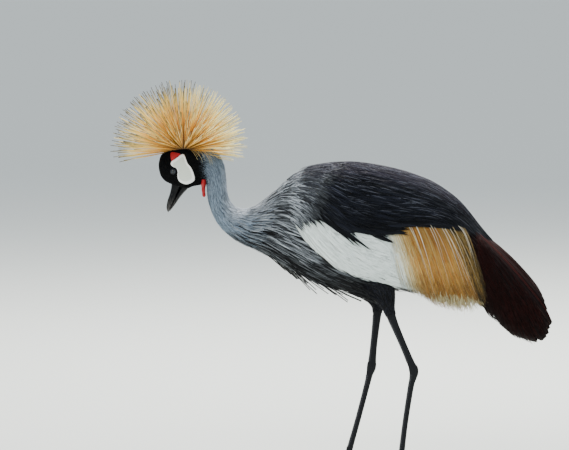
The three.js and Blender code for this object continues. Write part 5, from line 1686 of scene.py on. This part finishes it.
def lid_ring():
    around = 2 * np.pi * np.arange(64) / 64
    opening = np.radians(LIDS["open_high"] + (LIDS["open_long"] - LIDS["open_high"]) * np.cos(around) ** 2)
    outer = math.radians(LIDS["outer"])
    rim = EYE["radius"] + 0.08
    shares = np.array([0, 0.02, 0.08, 0.2, 0.45, 0.75, 1.0])
    swell = np.array([0.05, 0.55, 0.95, 1.0, 0.85, 0.5, 0.1])
    profile = [(share, rim + LIDS["thick"] * rise) for share, rise in zip(shares, swell)]
    profile += [(1.0, rim - 0.6), (0.5, rim - 0.5)]
    rings = []
    for turn, start in zip(around, opening):
        polar = np.array([start + (outer - start) * share for share, _ in profile])
        radius = np.array([far for _, far in profile])
        rings.append(columns(radius * np.sin(polar) * math.cos(turn), radius * np.sin(polar) * math.sin(turn),
                               radius * np.cos(polar)))
    rings = turned_to_side(np.array(rings))
    steps, sides = rings.shape[:2]
    index = np.arange(steps * sides).reshape(steps, sides)
    after = np.roll(index, -1, 0)
    quads = columns(index, np.roll(index, -1, 1), np.roll(after, -1, 1), after).reshape(-1, 4)
    return rings.reshape(-1, 3), [quads]


def tinted_material(name, roughness, coat=0.0, wrinkles=0.0, relief=0.0):
    """Bare skin or cornea: the piece's own colours, with fine wrinkles where a scale for them is given."""
    material = plain_material(name, (1, 1, 1), roughness, 0.3)
    tree, shader = material.node_tree, shader_of(material)
    set_inputs(shader, {
        "Base Color": read_attribute(tree, "tint", "Color"), "Coat Weight": coat, "Coat Roughness": 0.03,
    })
    if wrinkles:
        cells = add_node(tree, "ShaderNodeTexVoronoi", {"feature": "SMOOTH_F1"}, Vector=object_place(tree),
                         Scale=wrinkles)
        set_inputs(shader, {"Normal": bumps(tree, cells.outputs["Distance"], relief, 0.6)})
    return material


def side_piece(name, side, points, faces, colors, material, slot, *nodes):
    """A piece of the left side, or its mirror image on the right, with a colour for each point."""
    if side == "right":
        points = points * (1, -1, 1)
        faces = [f[:, ::-1] for f in faces]
    piece = mesh_piece(name, points, faces)
    set_tint(piece.data, colors)
    dress(piece, material, slot, *nodes)


CORNEA = tinted_material("wet_eye", 0.12, coat=0.5)
LID_SKIN = tinted_material("lid_skin", 0.5, wrinkles=2600, relief=0.0002)
for side in SIDE_SIGN:
    side_piece(f"eyeball_{side}", side, *eyeball(), CORNEA, "eye", f"eye_{side}")
    side_piece(f"lids_{side}", side, *lid_ring(), paint(34, 35, 40), LID_SKIN, "velvet")

# Cheeks and red caps
# Bare skin on each side of the head: a smooth white kidney-shaped patch with a bright raised rim, and a small
# red wrinkled patch above it in front.


def head_side(x, z):
    """Points of the head's left side over places in the side view, with the directions out of it."""
    arcs, angles = np.linspace(0, arc_of(11), 170), np.linspace(-90, 90, 181)
    grid = body_point(arcs[:, None], angles[None], 0.0)
    index = np.arange(grid.shape[0] * grid.shape[1]).reshape(grid.shape[:2])
    quads = columns(index[:-1, :-1], index[:-1, 1:], index[1:, 1:], index[1:, :-1]).reshape(-1, 4)
    surface = BVHTree.FromPolygons(grid.reshape(-1, 3).tolist(), quads.tolist())
    hits, outs = [], []
    for spot_x, spot_z in zip(np.ravel(x), np.ravel(z)):
        hit, normal, _, _ = surface.ray_cast(Vector((spot_x, -100, spot_z)), Vector((0, 1, 0)))
        if hit is None:
            hit, normal, _, _ = surface.find_nearest(Vector((spot_x, -8, spot_z)))
        hits.append(hit)
        outs.append(normal if normal.y < 0 else -normal)
    return np.array(hits).reshape(*x.shape, 3), np.array(outs).reshape(*x.shape, 3)


def bare_patch(outline, height, rim):
    """A closed patch over the head's side, with a raised rim and an edge sunk into the feathers."""
    outline = np.array(outline, float)
    closed = np.concatenate([outline[-2:], outline, outline[:3]])
    smooth = row_at(closed, np.linspace(2, len(outline) + 2, 120, endpoint=False))
    centre = smooth.mean(0)
    shares = np.array([0.03, 0.2, 0.4, 0.6, 0.75, 0.84, 0.9, 0.94, 0.97, 0.99, 1.0, 0.97, 0.6, 0.03])
    raised = [height + 0.4 * rim, height + rim, height + rim, height + 0.3 * rim]
    lifts = np.array([height] * 5 + raised + [0.3, -0.3, -1.4, -1.6, -1.6])
    spots = centre + (smooth[None] - centre) * shares[:, None, None]
    points, outs = head_side(spots[..., 0], spots[..., 1])
    return loft(points + outs * lifts[:, None, None])


CHEEK_WHITE = paint(211, 217, 204)
CHEEK_RIM = paint(252, 252, 248)
CAP_RED = paint(168, 14, 18)
BARE_WHITE = tinted_material("cheek_skin", 0.55, wrinkles=1500, relief=0.00015)
BARE_RED = tinted_material("red_skin", 0.45, wrinkles=1100, relief=0.0006)


def patch_colors(count, inner, rim):
    """The rim's colour on the outer rings of a patch of 14 rings of 120 points."""
    ring = np.arange(count) // 120
    return blend(inner, rim, ((ring >= 5) & (ring <= 10)).astype(float))


cheek_points, cheek_faces = bare_patch(CHEEK, 1.0, 0.3)
cap_points, cap_faces = bare_patch(RED_CAP, 0.7, 0.2)
for side in SIDE_SIGN:
    side_piece(f"cheek_patch_{side}", side, cheek_points, cheek_faces,
               patch_colors(len(cheek_points), CHEEK_WHITE, CHEEK_RIM), BARE_WHITE, "cheek", f"cheek_{side}")
    side_piece(f"red_patch_{side}", side, cap_points, cap_faces, CAP_RED, BARE_RED, "red", f"red_cap_{side}")

# Throat wattle
# A fold of red skin under the chin with two small bulbs that hang from it in front of the neck.
THROAT_FOLD = [
    [-353.5, 0, 572, 5, 17.5], [-353.8, 0, 564, 5.6, 14], [-354, 0, 557, 4.4, 8], [-353.6, 0, 552, 2.6, 4],
]
BULB = [
    [-353.8, -2.4, 560, 3, 3], [-353.9, -3, 552, 3.8, 3.6], [-353.4, -2.6, 545, 3.2, 3],
    [-352.8, -2.2, 539.5, 3.4, 3.2], [-352.4, -2, 536.6, 1.4, 1.6],
]


WATTLE_VOXEL = 0.0007
WATTLE_RED = paint(156, 12, 18)


def wattle():
    bulb = tube(BULB, 20, 5)
    piece = joined_loft("wattle_skin", [tube(THROAT_FOLD, 24, 5), bulb, (bulb * (1, -1, 1))[:, ::-1]])
    knit(piece, WATTLE_VOXEL, 3)
    set_tint(piece.data, WATTLE_RED)
    dress(piece, BARE_RED, "red", "wattle")


wattle()

# Thigh feathers, leg scutes and claws
# Short black feathers run down the thighs to just above the knee. Below, broad plates lie across the front of
# the leg and the top of each toe, over its dark skin. The claws are blunt dark horn.


def tube_surface(stops):
    """A leg or toe as a surface: a distance along it, an angle round it and a height above it."""
    fine = row_at(np.array(stops, float), np.linspace(0, len(stops) - 1, 400))
    reach = np.concatenate([[0], np.cumsum(np.linalg.norm(np.diff(fine[:, :3], axis=0), axis=1))])
    table = np.concatenate([fine, *directions(fine[:, :3])], 1)

    def surface(along, angle, lift):
        along, angle, lift = np.broadcast_arrays(along, angle, lift)
        row = columns(*(np.interp(along, reach, column) for column in table.T))
        a = np.radians(angle)
        return (row[..., :3] + row[..., 5:8] * ((row[..., 4] + lift) * np.cos(a))[..., None]
                + row[..., 8:] * ((row[..., 3] + lift) * np.sin(a))[..., None])

    return surface, reach[-1]


# The thighs' feathers shorten and narrow along the reach that they cover, from their roots to the knee.
THIGH_FEATHER = {"count": 1200, "from": 6, "reach": 92, "thick": 0.4}


def thigh_feathers(side):
    chance = np.random.default_rng(60 + SIDE_SIGN[side])
    surface, _ = tube_surface(leg_stops(side))
    count = THIGH_FEATHER["count"]
    along = THIGH_FEATHER["from"] + THIGH_FEATHER["reach"] * chance.random(count) ** 0.9
    angle = chance.uniform(0, 360, count)
    length = (24 - 13 * along / 98) * chance.uniform(0.8, 1.25, count)
    start = columns(along, angle)
    end = columns(along + length, angle + chance.normal(0, 6, count))
    tip = chance.uniform(0.1, 1.3, count)
    lifts = columns(-1.2, 0.4 * tip, tip)
    path, out = lay(surface, start, end, chance.normal(0, 3, count), lifts, 5)
    color = blend(BELLY, SLATE_SHEEN, chance.random(count) ** 2 * 0.5)
    color = color * chance.uniform(0.35, 1.0, count)[:, None]
    half = (2.5 - 1.3 * along / 98)[:, None] * ROUNDED
    uv = body_uv(np.full(count, arc_of(26.0)) + along * 0.3, -90 + SIDE_SIGN[side] * 30 + 0.1 * (angle - 180))
    return grow(path, out, half, THIGH_FEATHER["thick"], FLAT, color, uv, chance)


SCUTE_GREY = paint(48, 49, 53)
SCUTE_SHAPE = np.array([0.35, 0.85, 1, 1, 1, 0.85, 0.35])


def scute_rows(surface, first, last, pitch, middle, reach, chance):
    """Plates laid across a leg or toe, each a closed slip with rounded ends."""
    along = np.arange(first, last, pitch)
    start = columns(along, middle - reach)
    end = columns(along, middle + reach)
    path, out = lay(surface, start, end, 0, [-0.25, 0.25, 0.3, 0.25, -0.25], len(SCUTE_SHAPE))
    color = shaded(SCUTE_GREY, chance.uniform(0.75, 1.2, len(along)))
    uv = columns(0.05 + 0.9 * along / 420, 0.9)
    return grow(path, out, 0.47 * pitch * SCUTE_SHAPE, 0.45, BROAD, color, uv, chance)


def leg_scutes(side):
    """Scutes on the front of the leg below and above its joint, and on the top of each toe."""
    chance = np.random.default_rng(70 + SIDE_SIGN[side])
    surface, length = tube_surface(leg_stops(side))
    groups = [scute_rows(surface, 118, 205, 4.3, 90, 62, chance),
              scute_rows(surface, 236, length - 14, 4.8, 90, 72, chance)]
    for toe in TOES:
        on_toe, far = tube_surface(toe_stops(side, toe))
        groups.append(scute_rows(on_toe, 10, far - 1, 3.3, -90, 66, chance))
    return groups


CLAW = {"length": 11, "sunk": 2.5, "thick": 0.55, "blunt": 0.35, "arch": 1.9}


def claw(side, toe):
    """A claw that grows out of its toe's end, arches a little and comes down to the floor."""
    _, length, radius = TOES[toe]
    stops = []
    for share in np.linspace(0, 1, 7):
        x, y = toe_spot(side, toe, length - CLAW["sunk"] + (CLAW["length"] + 2) * share)
        size = radius * CLAW["thick"] * (1 - share) ** 0.6 + CLAW["blunt"]
        height = radius * CLAW["thick"] + CLAW["arch"] * math.sin(math.pi * share) * 0.6 + 0.9
        stops.append([x, y, height - 2.2 * share**2 * radius / 5, size, size * 0.8])
    return tube(stops, 14, 3)


THIGH_FINISH = feather_material("thigh_feathers", 0.6, 0.4, 30, 8, sheen=0.03, shine=0.08)
SCUTE_FINISH = tinted_material("scute_horn", 0.42, wrinkles=900, relief=0.0002)
for side in SIDE_SIGN:
    coat_piece(f"thigh_coat_{side}", [thigh_feathers(side)], THIGH_FINISH, "slate")
    coat_piece(f"scutes_{side}", leg_scutes(side), SCUTE_FINISH, "leg")
    claws = joined_loft(f"claws_{side}_horn", [claw(side, toe) for toe in TOES])
    dress(claws, HORN, "claw", *[f"claw_{toe}_{side}" for toe in TOES])
